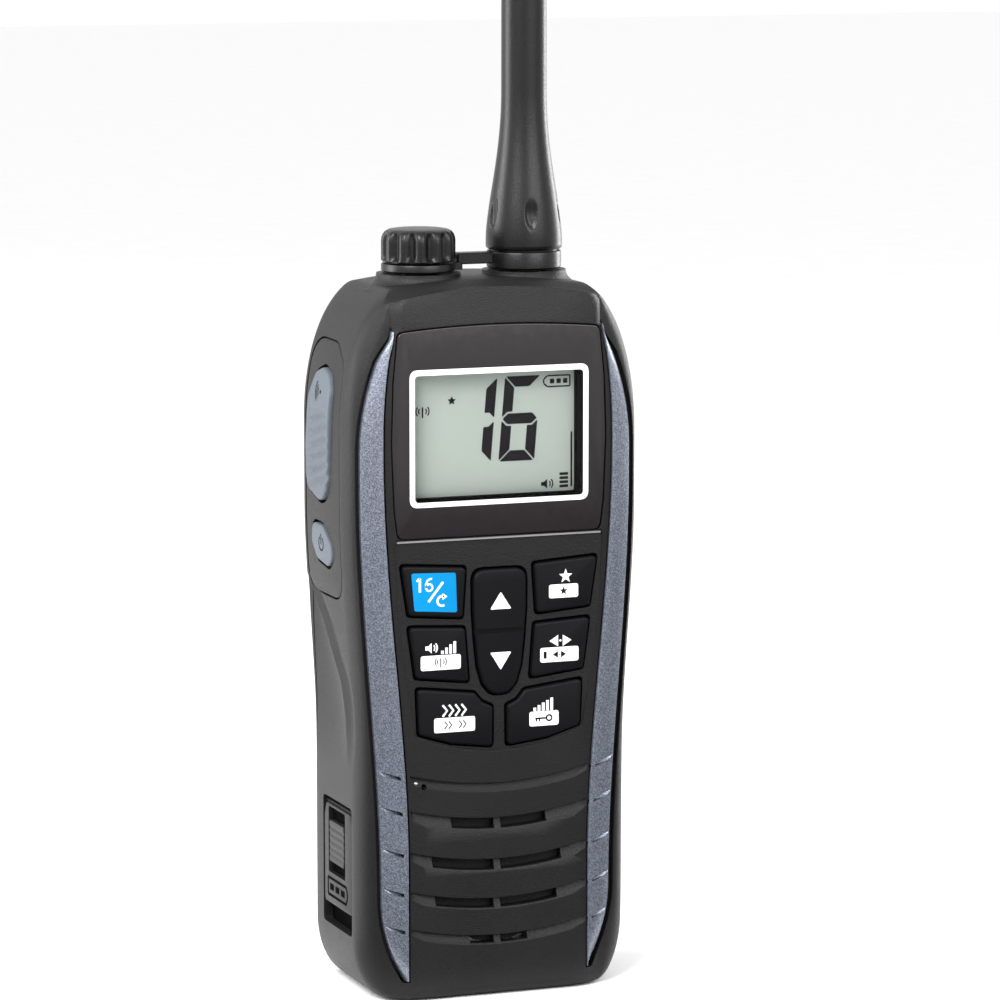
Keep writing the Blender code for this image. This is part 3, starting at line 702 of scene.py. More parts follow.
def printed_circuit(name):
    """Green solder mask with a fine pattern of darker tracks."""
    surface, tree, shader, place = nodes_of(name, 0.4, 0.0, 0.3)
    cells = add_node(tree, "TexVoronoi", {"Vector": place, "Scale": 420})
    cells.distance = "CHEBYCHEV"
    edges = cells.outputs["Distance"]
    fill(tree, shader, {
        "Base Color": two_tone(tree, edges, (0.02, 0.11, 0.05), (0.04, 0.2, 0.09), 0.3, 0.36),
        "Normal": bump_of(tree, edges, 0.2, 0.00003),
    })
    return surface


def clear_pane(name):
    surface, tree, shader, place = nodes_of(name, 0.05)
    smudges = noise_of(tree, place, 90, 3)
    fill(tree, shader, {
        "Base Color": (0.02, 0.02, 0.02, 1), "Alpha": 0.07, "Roughness": ranged(tree, smudges, 0.03, 0.09),
    })
    surface.surface_render_method = "BLENDED"
    return surface


CASING = moulded("casing_spark_texture", (0.0105, 0.0097, 0.0097), 0.43, 4200, 1.0, 0.12, 0.00009,
                 soft=0.00016, shine=0.22)
COVER = moulded("cover_fine_texture", (0.0105, 0.0098, 0.0098), 0.46, 4200, 0.8, 0.1, 0.00007, shine=0.27)
LENS = moulded("gloss_black", (0.016, 0.0135, 0.015), 0.2, 900, 0.02, 0.05, shine=0.4)
PANE = clear_pane("clear_pane")
LCD = moulded("liquid_crystal", (0.36, 0.41, 0.37), 0.42, 1500, 0.02, 0.03)
SEGMENT = moulded("dark_segment", (0.008, 0.006, 0.009), 0.5, 1500, 0.02, 0.05, shine=0.1)
KEY = moulded("key_rubber", (0.0035, 0.0033, 0.0044), 0.5, 3000, 0.25, 0.1, shine=0.13)
BLUE = moulded("blue_key_field", (0.0, 0.215, 0.5), 0.5, 2600, 0.1, 0.04, shine=0.08)
PRINT = moulded("white_print", (0.9, 0.91, 0.91), 0.5, 2600, 0.05, 0.02)
# A lighter grey for the strip below the lens: a painted highlight along the lens's lower edge.
HIGHLIGHT_LINE = moulded("painted_highlight_line", (0.2, 0.2, 0.2), 0.4, 2600, 0.1, 0.05)
# Near-black and nearly matt: painted shade in the charge pocket, the latch slot and the LCD's recess, and
# the dark print of the charge symbol.
SHADE_AND_PRINT_BLACK = moulded("painted_shade_and_print_black", (0.0015, 0.0015, 0.0015), 0.9, 1500, 0.4, 0.1, shine=0.02)
INK = moulded("dark_print", (0.008, 0.008, 0.009), 0.6, 2600, 0.05, 0.03, shine=0.05)
TRIM = flaked("trim_flake", (0.11, 0.125, 0.16), (0.37, 0.4, 0.48), 0.31)
BUTTON = moulded("button_rubber", (0.085, 0.1, 0.12), 0.5, 3000, 0.2, 0.06)
PANEL = moulded("panel_rubber", (0.0095, 0.009, 0.009), 0.46, 4200, 0.7, 0.08, 0.00006, shine=0.25)
RUBBER = moulded("black_rubber", (0.0045, 0.0045, 0.0047), 0.34, 3600, 0.3, 0.1, shine=0.32)
BOARD = printed_circuit("solder_mask")
STEEL = brushed("bright_steel", (0.6, 0.6, 0.61), 0.28)
BRASS = brushed("plated_brass", (0.74, 0.55, 0.25), 0.3)
BLACKENED = brushed("blackened_steel", (0.02, 0.02, 0.02), 0.5)
PLASTIC = moulded("black_plastic", (0.012, 0.012, 0.0125), 0.5, 2400, 0.2, 0.08)
CLOTH = woven("acoustic_cloth", (0.004, 0.004, 0.0045))
CELL = moulded("cell_film", (0.1, 0.2, 0.36), 0.32, 700, 0.1, 0.15, coat=0.3)
SLOT_SURFACES = {
    "casing": CASING, "lens": LENS, "lcd": LCD, "key": KEY, "key_blue": KEY, "trim": TRIM, "button": BUTTON,
    "rubber": RUBBER, "board": BOARD, "steel": STEEL, "brass": BRASS, "black_plastic": PLASTIC,
    "cloth": CLOTH, "cell": CELL,
}


# Pieces

def casing_shell():
    stands = plus(pedestal(CAP_X), pedestal(ANTENNA_X))
    return carved(casing_form(), *less(lid_form(), casing_form(WALL)), *stands)


def key_field():
    """The shallow field that the keys stand in, with a curved ledge below them."""
    ledge = [(x, 45.7 + 0.0137 * x * x) for x in spread(-16.2, 16.2, 1.2)]
    sides = [(18.0, 60), (19.5, 72), (20.2, 84.9)]
    outline = rounded(ledge + sides + mirrored(sides), 0.5, 3)
    return prism(outline, HALF_DEPTH - KEY_FIELD_DEPTH, PAST_FRONT)


def button_holes():
    outlines = [grown(shape, BUTTON_GAP) for shape in (PTT_SHAPE, POWER_SHAPE)]
    return [prism(outline, *THROUGH_LEFT, across_x) for outline in outlines]


def make_front_case(shell):
    openings = [rounded(grown(outline, KEY_GAP), KEY_CORNER) for outline in KEYS.values()]
    openings.append(rounded(grown(ROCKER, KEY_GAP), ROCKER_CORNER))
    holes = [prism(outline, *THROUGH_FRONT) for outline in openings]
    holes.append(rod((-14.6, -20, 39.9), 10, 0.55, "Y", 16))
    for top, bottom, left, right in GROOVES[1:]:
        for start, end in ((left, -0.95), (0.35, right)):
            holes.append(prism(arc_band(bottom + 0.25, top - 0.1, start, end), *THROUGH_FRONT))
    holes.append(prism(rectangle(-17.6, 17.6, 90.9, 116.6), 10, PAST_FRONT))
    grooves = [groove_cutter(top, bottom, 17.7, 0.95, -HALF_DEPTH) for top, bottom, left, right in GROOVES]
    side_holes = [*button_holes(), prism(rounded(CHARGE_POCKET, 1.0), PAST_LEFT, -24.25, across_x)]
    panel_outline = rounded(grown(SIDE_PANEL, 0.25), PANEL_CORNER, 8)
    bores = [rod((CAP_X, 0, 118), 22, 4.3), rod((ANTENNA_X, 0, 118), 22, 3.4), block(*SOCKET_OPENING)]
    case = carved(shell, *less(
        block((-40, SPLIT_Y, -10), (40, 40, 150)),
        key_field(),
        joined(grooves),
        prism(rounded(lens_outline(), 1.6), HALF_DEPTH - LENS_RECESS, PAST_FRONT),
        prism(rectangle(-19.9, 19.9, 84.85, 85.6), HALF_DEPTH - 0.4, PAST_FRONT),
        joined(holes),
        trim_strip(0.3, 0.8, 1.3, -2.4),
        mirror_x(trim_strip(0.3, 0.8, 1.3, -2.4)),
        finger_scoop(-1),
        finger_scoop(1),
        plate(panel_outline, [(0, -1.3), (0, 6)], on_left, (spread(72, 122, 2.0),)),
        joined(side_holes),
        joined(bores),
    ))
    piece("front_shell", case, "radio", "casing", CASING, "front_case")


def make_rear_case(shell):
    half = 21.1
    wall = 1.2
    bay_low = 10.2
    bay_high = 97.8
    tray = block((-half - wall, 0.9, bay_low - wall), (half + wall, 13.5, bay_high + wall))
    openings = [rod((x, 13.6, z), 10, 2.6, "Y") for x, z in SCREWS.values()]
    openings.append(block((-8.4, -5, 85.6), (8.4, 5, 92.4)))
    case = carved(
        shell,
        *less(block((-40, -40, -10), (40, SPLIT_Y + GAP, 150))),
        *plus(tray),
        *less(block((-half, 2.1, bay_low), (half, 40, bay_high)), joined(openings)),
        *less(finger_scoop(-1), finger_scoop(1)),
    )
    piece("rear_shell", case, "radio", "casing", CASING, "rear_case")


def make_trims():
    for side in ("right", "left"):
        notches = [groove_cutter(top - 0.6, top - 1.25, 30, 0.3, -13.9) for top, *rest in GROOVES]
        strip = carved(trim_strip(0.0, 0.0, 1.05, 0.0), *less(joined(notches)))
        if side == "left":
            mirror_x(strip)
        piece("trim_" + side, strip, "radio", "trim", TRIM, "side_trim_" + side)


def make_lens():
    front = HALF_DEPTH - 0.02
    outer = rounded(grown(lens_outline(), -0.25), 1.5)
    body = plate(outer, soft_levels(HALF_DEPTH - 1.0, front, 0.18), on_front)
    opening = rounded(rectangle(-16.2, 16.2, 92.2, 115.1), 0.9)
    body = carved(body, *less(prism(opening, 10, PAST_FRONT)))
    piece("lens_mask", body, "radio", "lens", LENS, "display_lens")
    pane = prism(grown(opening, -0.03), front - 0.5, front - 0.06)
    piece("lens_pane", pane, "radio", "lens", PANE)
    rim_outer = rounded(rectangle(-17.25, 17.25, 91.25, 116.2), 1.6, 8)
    rim_inner = rounded(rectangle(-16.25, 16.25, 92.15, 115.15), 0.8, 8)
    rim = frame_band(rim_outer, rim_inner, front - 0.1, front + 0.015)
    piece("lens_border", rim, "radio", "lens", PRINT)
    plane = -node_box("lcd_panel")[0].y
    # A black frame round the LCD behind the lens. It reaches further into the window on the right and at the
    # bottom, which is painted shade for the recess wall seen there.
    well_inner = rounded(rectangle(-16.2, 15.4, 92.7, 115.05), 0.5, 6)
    well_outer = rounded(rectangle(-16.9, 16.9, 91.5, 115.8), 0.5, 6)
    well = frame_band(well_outer, well_inner, plane + 0.06, HALF_DEPTH - 1.02)
    piece("lens_well_painted_shade", well, "radio", "lens", SHADE_AND_PRINT_BLACK)
    # A thin light strip on the ridge below the lens: a painted highlight of its lower chamfer.
    sill = prism(rectangle(-19.7, 19.7, 84.95, 85.25), HALF_DEPTH - 0.6, HALF_DEPTH - 0.03)
    piece("lens_sill_painted_highlight", sill, "radio", "casing", HIGHLIGHT_LINE)
    dome = [(0, -0.6), (0.45, -0.6), (0.45, 0.1), (0.36, 0.3), (0.2, 0.42), (0, 0.46)]
    bead = turned([(r, -h) for r, h in dome], (-16.1, -HALF_DEPTH + 0.5, 40.6), "Y", 24)
    piece("microphone_bead", bead, "radio", "steel", STEEL)


def frame_band(outer, inner, low, high):
    edges = ((outer, low), (outer, high), (inner, high), (inner, low))
    return loft([[(x, -height, z) for x, z in outline] for outline, height in edges], cyclic=True)


def digit(left, right, low, high, lit):
    """The lit segments of a seven-segment digit, mitred where they meet."""
    thick = 1.95
    gap = 0.16
    half = thick / 2
    middle = (low + high) / 2
    tip = left + gap
    foot = middle + half + 1.9 * gap

    def across(outline):
        return [(left + right - u, v) for u, v in reversed(outline)]

    def upside_down(outline):
        return [(u, low + high - v) for u, v in reversed(outline)]

    end = right - gap
    top = [(tip, high), (end, high), (end - thick, high - thick), (tip + thick, high - thick)]
    side = [(left, high - gap), (left + thick, high - gap - thick), (left + thick, foot),
            (left + half, foot), (left, foot - half)]
    bar = [(tip, middle), (tip + half, middle + half)]
    bar += across(bar)
    lower = upside_down(side)
    shapes = {
        "top": top, "middle": bar + upside_down(bar[1:3]), "bottom": upside_down(top),
        "upper_left": side, "upper_right": across(side), "lower_left": lower, "lower_right": across(lower),
    }
    return [shapes[name] for name in lit]


def slanted(outline, base):
    lean = 0.085
    return [(u + lean * (v - base), v) for u, v in outline]


# Pictograms, drawn about (0, 0) and about two units high

def placed(shapes, u, v, size):
    return [[(u + size * a, v + size * b) for a, b in shape] for shape in shapes]


def star_points():
    points = []
    for k in range(10):
        angle = radians(90 + 36 * k)
        reach = 0.42 if k % 2 else 1.0
        points.append((reach * cos(angle), reach * sin(angle)))
    return points


def chevrons(count):
    shapes = []
    for k in range(count):
        start = 1.15 * (k - (count - 1) / 2)
        shapes.append(stroke([(start - 0.35, 1), (start + 0.45, 0), (start - 0.35, -1)], 0.36))
    return shapes


def bars(count):
    lefts = [0.72 * (k - count / 2) for k in range(count)]
    return [rectangle(left, left + 0.46, -1, -0.45 + 1.45 * k / (count - 1)) for k, left in enumerate(lefts)]


STAR = [star_points()]
SPEAKER = [[(-1, -0.3), (-0.5, -0.3), (0, -0.8), (0, 0.8), (-0.5, 0.3), (-1, 0.3)]]
SPEAKER += [stroke(arc(-0.1, 0, radius, -42, 42, 6), 0.2) for radius in (0.6, 1.0)]
MAST = [stroke([(0, -1), (0, 1)], 0.28)]
for radius in (0.75, 1.25):
    MAST += [stroke(arc(0, 0.2, radius, side - 40, side + 40, 6), 0.24) for side in (0, 180)]
LEFT_ARROW = [(-0.35, -0.8), (-0.35, 0.8), (-1.65, 0)]
ARROWS = [LEFT_ARROW, [(-u, v) for u, v in LEFT_ARROW], arc(0, 0, 0.16, 0, 324, 9)]
LOCK_KEY = [stroke([(-1.7, 0), (0.6, 0)], 0.34)]
LOCK_KEY += [stroke(arc(1.15, 0, 0.55, start, start + 180, 8), 0.34) for start in (0, 180)]
LOCK_KEY += [rectangle(left, left + 0.3, -0.6, 0) for left in (-1.6, -1.0)]
TURN_BACK = [stroke(arc(0, 0, 0.8, 60, 300, 16), 0.34), [(0.1, 1.25), (0.1, 0.15), (0.95, 0.72)]]
NUMBER_ONE = [stroke([(-0.32, 0.62), (0.12, 1)], 0.3), rectangle(0, 0.34, -1, 1)]
SIX_BOWL = arc(0, -0.38, 0.5, 180, 540, 24)
SIX_TAIL = [(-0.5, -0.42), (-0.5, 0.12), (-0.3, 0.62), (0.05, 0.86), (0.42, 0.9)]
NUMBER_SIX = [stroke(line, 0.26) for line in (SIX_BOWL[:13], SIX_BOWL[12:], SIX_TAIL)]


def battery_icon(left, right, low, high, edge):
    nose = left + 0.7
    middle = (low + high) / 2
    outline = [
        (right, low), (right, high), (nose, high), (left, middle + 0.4), (left, middle - 0.4), (nose, low),
        (right, low),
    ]
    shapes = [stroke(outline[k:k + 2], edge) for k in range(6)]
    step = (right - nose - 2 * edge) / 3
    for k in range(3):
        start = nose + 1.8 * edge + step * k
        shapes.append(rectangle(start, start + 0.66 * step, low + 2 * edge, high - 2 * edge))
    return shapes


def printed(name, body, slot, surface, shapes, low, high, place=on_front):
    """Flat marks that reach from one height to another."""
    piece(name, joined([prism(shape, low, high, place) for shape in shapes]), body, slot, surface)


def legend(name, body, slot, shapes, surface, lift=0.0):
    top = KEY_FRONT + lift
    printed(name, body, slot, surface, shapes, top - 0.06, top + PRINT_HEIGHT)


def make_display():
    plane = -node_box("lcd_panel")[0].y
    panel = plate(rectangle(-17, 17, 91.3, 116.3), soft_levels(plane - 1.7, plane, 0.1), on_front)
    piece("lcd_glass", panel, "radio", "lcd", LCD, "lcd_panel")
    low = 98.6
    high = 114.1
    wide = 6.95
    one = digit(-0.15 - wide, -0.15, low, high, ("upper_right", "lower_right"))
    lit = ("top", "upper_left", "middle", "lower_left", "lower_right", "bottom")
    six = digit(8.3 - wide, 8.3, low, high, lit)
    shapes = [slanted(outline, (low + high) / 2) for outline in one + six]
    shapes += placed(STAR, -8.3, 110.1, 0.95) + battery_icon(9.5, 14.6, 111.9, 113.9, 0.28)
    shapes += [rectangle(12.6, 14.3, 93.3 + 0.75 * k, 93.8 + 0.75 * k) for k in range(4)]
    shapes += placed(SPEAKER, 10.2, 94.1, 1.2) + placed(MAST, -13.9, 108.2, 1.0)
    shapes = [rounded(shape, 0.12, 2) for shape in shapes]
    printed("lcd_segments", "radio", "lcd", SEGMENT, shapes, plane - 0.02, plane + 0.03)
    level_bar = rectangle(14.75, 15.1, 93.4, 103.5)
    printed("lcd_level_bar", "radio", "lcd", SEGMENT, [level_bar], plane - 0.02, plane + 0.02)


def label_box(u, v, wide, high):
    return rounded(rectangle(u - wide / 2, u + wide / 2, v - high / 2, v + high / 2), 0.45, 4)


# Each key's printed sign, the box below it, and the dark sign inside the box
KEY_SIGNS = {
    "key_favourite": (
        placed(STAR, 12.7, 77.35, 1.35), (12.3, 74.65, 5.7, 2.5), placed(STAR, 12.3, 74.65, 0.85)),
    "key_volume": (
        placed(SPEAKER, -13.3, 65.6, 1.2) + placed(bars(4), -9.9, 65.5, 1.1), (-11.55, 62.85, 7.7, 2.7),
        placed(MAST, -11.55, 62.8, 0.85)),
    "key_channel": (
        placed(ARROWS, 11.7, 65.5, 1.3), (11.5, 62.95, 7.5, 2.7),
        placed(ARROWS, 11.5, 62.95, 0.8) + [rectangle(8.4, 9.0, 62.3, 63.6)]),
    "key_scan": (
        placed(chevrons(4), -9.0, 53.9, 1.05), (-8.9, 51.25, 7.9, 2.7),
        placed(chevrons(2), -10.2, 51.25, 0.7) + placed(chevrons(2), -7.4, 51.25, 0.7)),
    "key_power_level": (
        placed(bars(5), 8.5, 53.85, 1.15), (8.5, 51.25, 5.7, 2.7), placed(LOCK_KEY, 8.4, 51.3, 0.95)),
}


def make_keys():
    back = HALF_DEPTH - WALL - GAP
    flange = [(0.7, back - 0.4), (0.7, back - 0.05), (0.0, back + 0.05)]
    for name, outline in KEYS.items():
        slot = "key_blue" if name == "key_channel_16" else "key"
        levels = flange + soft_levels(back + 0.3, KEY_FRONT, 0.42)
        cap = plate(rounded(outline, KEY_CORNER, 6), levels, on_front)
        piece(name + "_cap", cap, name + "_body", slot, KEY, name)
    field = rounded([(-17.2, 79.5), (-8.6, 79.2), (-8.35, 71.85), (-16.6, 72.5)], 0.45, 5)
    insert = plate(field, soft_levels(KEY_FRONT - 0.2, KEY_FRONT + 0.02, 0.08, 2), on_front)
    piece("key_channel_16_field", insert, "key_channel_16_body", "key_blue", BLUE)
    marks = placed(NUMBER_ONE, -15.75, 77.2, 1.25) + placed(NUMBER_SIX, -13.75, 77.2, 1.25)
    marks.append(stroke([(-13.9, 74.1), (-11.1, 77.6)], 0.42))
    marks += placed(TURN_BACK, -11.3, 74.15, 1.1)
    legend("key_channel_16_legend", "key_channel_16_body", "key_blue", marks, PRINT, 0.02)
    for name, (sign, box, inner) in KEY_SIGNS.items():
        legend(name + "_legend", name + "_body", "key", sign + [label_box(*box)], PRINT)
        legend(name + "_inner_legend", name + "_body", "key", inner, INK, PRINT_HEIGHT * 0.4)
    make_rocker(back)


def make_rocker(back):
    outline = rounded(ROCKER, ROCKER_CORNER, 6)
    body = plate(outline, soft_levels(back - 0.2, KEY_FRONT, 0.5), on_front)
    groove = prism(rectangle(-9, 9, 67.65, 68.45), KEY_FRONT - 0.45, PAST_FRONT)
    piece("rocker_cap", carved(body, *less(groove)), "rocker", "key", KEY, "rocker_key")
    up = [(-2.0, 72.0), (2.1, 72.0), (0.05, 75.15)]
    down = [(-2.0, 64.05), (2.1, 64.05), (0.05, 60.8)]
    legend("rocker_arrows", "rocker", "key", [rounded(arrow, 0.15, 3) for arrow in (up, down)], PRINT)


def make_side_controls():
    cuts = (spread(72, 122, 1.5),)
    outline = rounded(SIDE_PANEL, PANEL_CORNER, 8)
    panel = plate(outline, soft_levels(-1.0, -0.02, 0.3), on_left, cuts)
    panel = carved(panel, *less(joined(button_holes())))
    piece("side_skin", panel, "radio", "rubber", PANEL, "side_panel")

    def ribbed(u, v, height):
        edge = smooth_step(-3.2, -1.6, u) * (1 - smooth_step(6.0, 8.4, u))
        edge *= smooth_step(92.5, 95.0, v) * (1 - smooth_step(106.5, 108.5, v))
        valley = (0.5 - 0.5 * cos(2 * pi * (v + 0.25 * u) / 2.35)) ** 1.4
        depth = 0.62 * edge * valley if height > 0 else 0
        return on_left(u, v, height - depth)

    fine = (spread(90.5, 116, 0.4), spread(-3.6, 9.4, 0.8))
    talk = plate(PTT_SHAPE, soft_levels(-2.4, 0.62, 0.5), ribbed, fine)
    piece("talk_button", talk, "ptt", "button", BUTTON, "ptt_button")
    marks = [stroke(arc(1.7, 111.0, radius, -50, 50, 6), 0.3) for radius in (0.9, 1.6, 2.3)]
    marks.append(arc(1.3, 111.0, 0.38, 0, 324, 9))
    printed("talk_symbol", "ptt", "button", INK, marks, 0.58, 0.65, on_left)
    power = plate(POWER_SHAPE, soft_levels(-2.4, 0.34, 0.35), on_left, cuts)
    piece("power_button_cap", power, "power", "button", BUTTON, "power_button")
    lines = [arc(1.6, 83.1, 1.25, start, start + 150, 12) for start in (120, -90)]
    lines.append([(1.6, 83.0), (1.6, 84.9)])
    marks = [stroke(line, 0.32) for line in lines]
    printed("power_symbol", "power", "button", INK, marks, 0.3, 0.37, on_left)


def make_charge_cover():
    outer_x = -26.12
    slab = [(0, -24.6), (0, outer_x + 0.25), (-0.08, outer_x + 0.08), (-0.25, outer_x)]
    slot = prism(rounded(LATCH_SLOT, 0.5), PAST_LEFT, outer_x + 1.0, across_x)
    cover = carved(plate(rounded(CHARGE_COVER, 0.8), slab, across_x), *less(slot))
    piece("charge_door", cover, "cover", "casing", COVER, "charge_cover")
    marks = battery_icon(-5.4, 5.6, 16.8, 20.0, 0.5)
    printed("charge_symbol", "cover", "casing", SHADE_AND_PRINT_BLACK, marks, outer_x - 0.04, outer_x + 0.05, across_x)
    # A near-black sheet on the latch slot's floor: painted shade for the deep slot.
    floor = rounded(grown(LATCH_SLOT, -0.04), 0.5)
    printed("charge_slot_painted_shade", "cover", "casing", SHADE_AND_PRINT_BLACK, [floor], outer_x + 0.88, outer_x + 1.04, across_x)
    # A near-black plate on the charge pocket's floor: painted shade for the deep pocket.
    pocket_shade = prism(rounded(grown(CHARGE_POCKET, -0.1), 0.9), -24.45, -24.1, across_x)
    pocket_shade = carved(pocket_shade, *less(block(*SOCKET_OPENING)))
    piece("charge_pocket_painted_shade", pocket_shade, "radio", "casing", SHADE_AND_PRINT_BLACK)

    def fluted(u, v, height):
        if height < outer_x + 0.2:
            offset = v - 27.1
            wave = 0.5 + 0.5 * cos(2 * pi * offset / 1.3)
            height += 0.14 * wave * (1 - smooth_step(2.6, 3.3, abs(offset)))
        return across_x(u, v, height)

    slider_levels = [(0, outer_x + 0.85), (0, outer_x + 0.05), (-0.12, outer_x - 0.1)]
    slider = plate(rounded(LATCH_SLIDER, 0.5), slider_levels, fluted, (spread(23.2, 31.0, 0.17),))
    piece("charge_slider", slider, "cover_lock", "casing", COVER, "charge_latch")


def make_top():
    cap_foot = LOOP_TOP + GAP
    cap_profile = [(0, cap_foot), (6.55, cap_foot), (6.8, cap_foot + 0.25)]
    cap_profile += [(6.8, z) for z in spread(135.2, 138.2, 0.6)]
    cap_profile += [(6.72, 138.8), (6.5, 139.4), (6.1, 139.9), (5.5, 140.2), (4.6, 140.35)]
    cap_profile += [(3.0, 140.45), (1.5, 140.5), (0, 140.5)]

    def knurled(radius, height, angle):
        if radius < 5.2:
            return radius
        share = smooth_step(134.4, 135.2, height) * (1 - smooth_step(138.9, 140.3, height))
        wave = (0.5 + 0.5 * cos(12 * angle)) ** 1.6
        return radius - 1.05 * share * wave

    head = turned(cap_profile, (CAP_X, 0, 0), steps=192, shape=knurled)
    stem = [(0, 124.7), (3.2, 124.7), (3.7, 125.2), (3.7, 127.0), (2.8, 127.1), (2.8, 128.9), (3.7, 129.0),
            (3.7, LOOP_TOP + 0.8), (0, LOOP_TOP + 0.8)]
    cap = carved(head, *plus(turned(stem, (CAP_X, 0, 0))))
    piece("jack_cap_head", cap, "cap", "rubber", RUBBER, "jack_cap", sharp=40)
    ring = turned(collar(4.3, 6.8, 132.6, LOOP_TOP, 0.25), (CAP_X, 0, 0), steps=96)
    lip_top = boot_low.z - 0.05
    lip = [(6.2, RING_TOP), (6.2, lip_top), (5.1, lip_top)]
    loop = turned([*collar(5.1, 6.85, 132.6, RING_TOP, 0.3)[:-1], *lip], (ANTENNA_X, 0, 0), steps=96)
    riser = prism(rounded(rectangle(-4.2, -2.0, -1.6, 1.6), 0.4), 132.65, 134.0, on_top)
    bridge_levels = [(-0.2, 133.6), (0, 133.8), (0, 135.4), (-0.25, 135.7)]
    bridge = plate(rounded(rectangle(-3.0, 5.4, -1.5, 1.5), 0.5), bridge_levels, on_top)
    tether = carved(ring, *plus(riser, bridge, loop))
    piece("tether", tether, "radio", "rubber", RUBBER, "cap_tether")


def collar(inner, outer, low, high, soft):
    """The profile of a ring with softened edges."""
    return [
        (inner, low), (outer - soft, low), (outer, low + soft), (outer, high - soft),
        (outer - soft * 0.3, high - soft * 0.3), (outer - soft, high), (inner, high),
    ]


def boot_radius(z):
    share = min(max((z - 138.0) / 27.0, 0.0), 1.0)
    slim = 4.15 - 0.3 * smooth_step(160, boot_high.z, z)
    return slim + (7.0 - slim) * 0.5 * (1 + cos(pi * share ** 0.78))


DIMPLE_STEP = 2 * pi / 5


def make_antenna():
    base = boot_low.z
    top = boot_high.z
    profile = [(0, 141.3), (4.95, 141.2), (4.95, base), (boot_radius(base) - 0.3, base)]
    heights = [base + 0.3, *spread(137, 148, 0.3), *spread(149, 167, 1.0), *spread(170, top - 8, 6)]
    profile += [(boot_radius(z), z) for z in heights]
    profile += [(boot_radius(top) * (1 - drop), top - 6 * (1 - rise)) for drop, rise in quarter(8, 1)]

    def dimpled(radius, height, angle):
        if height < 138 or height > 148 or abs(radius - boot_radius(height)) > 0.01:
            return radius
        span = (angle + 1.72) / DIMPLE_STEP
        across = (span - round(span)) * DIMPLE_STEP * radius
        oval = sqrt((across / 1.3) ** 2 + ((height - 143.2) / 3.6) ** 2)
        return radius - 0.55 * (1 - smooth_step(0.6, 1.0, oval)) * (1 - smooth_step(142.5, 146, height))

    boot = turned(profile, (ANTENNA_X, 0, 0), steps=192, shape=dimpled)
    piece("antenna_whip", boot, "antenna", "rubber", RUBBER, "antenna_boot", sharp=50)


SCREWS = {
    "case_screw_top_left": (-18.5, 123.5), "case_screw_top_right": (18.5, 123.5),
    "case_screw_bottom_left": (-13.0, 5.7), "case_screw_bottom_right": (13.0, 5.7),
}


def cross_slot(x, y, z, reach):
    upright, level = [
        block((x - wide, y, z - tall), (x + wide, y + 1.5, z + tall))
        for wide, tall in ((reach, 0.3), (0.3, reach))
    ]
    return carved(upright, *plus(level))


def make_screws():
    places = {name: (x, z, 14.9, 2.2, 6.0) for name, (x, z) in SCREWS.items()}
    for name in ("clip_screw_lower", "clip_screw_upper"):
        low, high = node_box(name)
        places[name] = (0.0, (low.z + high.z) / 2, high.y, 1.9, 15.35)
    for name, (x, z, top, radius, end) in places.items():
        dome = [(0, end), (1.0, end), (1.0, top - 0.9), (radius, top - 0.8)]
        dome += [(radius * cos(a), top - 0.5 + 0.5 * sin(a)) for a in (0.0, 0.4, 0.8, 1.2)]
        dome.append((0, top))
        head = carved(turned(dome, (x, 0, z), "Y"), *less(cross_slot(x, top - 0.45, z, radius * 0.55)))
        body = "battery" if name.startswith("clip") else "radio"
        piece(name + "_head", head, body, "steel", STEEL, name)


def outlined(node, corner, inset=0.0):
    """A node's corners, and its rounded outline seen from the back."""
    low, high = node_box(node)
    outline = rectangle(low.x + inset, high.x - inset, low.z + inset, high.z - inset)
    return low, high, rounded(outline, corner)


def back_slot(left, right, low, high, corner, floor):
    """A cutter for a shallow slot in the back."""
    return prism(rounded(rectangle(left, right, low, high), corner), floor, 30, on_back)


def make_battery():
    low, high, outline = outlined("battery_lid", 2.0)
    lid = plate(outline, soft_levels(low.y, high.y - 0.02, 0.7), on_back)
    slots = [back_slot(-7.4, 7.4, 13.0, 19.8, 0.6, 13.9)]
    for k in range(7):
        z = 27 + 3.4 * k
        slots.append(back_slot(-18, 18, z, z + 0.9, 0.4, high.y - 0.4))
    slots.append(back_slot(-9, 9, 20.8, 21.6, 0.3, high.y - 0.3))
    piece("battery_back", carved(lid, *less(joined(slots))), "battery", "casing", COVER, "battery_lid")
    low, high, outline = outlined("battery_case", 1.6)
    shell = plate(outline, [(-0.4, low.y), (0, low.y + 0.4), (0, high.y)], on_back)
    room = prism(outlined("battery_case", 0.5, 1.3)[2], low.y + 1.2, 30, on_back)
    piece("battery_tub", carved(shell, *less(room)), "battery", "casing", COVER, "battery_case")
    contacts = [block((x - 0.9, low.y - 0.12, 86.6), (x + 0.9, low.y + 0.2, 91.4)) for x in (-5, 0, 5)]
    piece("battery_contacts", joined(contacts), "battery", "casing", BRASS)
    low, high, outline = outlined("battery_latch", 0.8)

    def gripped(u, v, height):
        lift = 0.2 * cos(2 * pi * (v - 15.15) / 1.2) - 0.2 if height > high.y - 0.1 else 0
        return on_back(u, v, height + lift)

    latch = plate(outline, soft_levels(low.y, high.y, 0.3), gripped, (spread(13.5, 16.8, 0.15),))
    piece("battery_catch", latch, "pack_lock", "button", PLASTIC, "battery_latch")


def both_sides(outline, near, far):
    """The same outline to the left and the right of the middle."""
    return [prism(outline, *sorted((side * near, side * far)), across_x) for side in (-1, 1)]


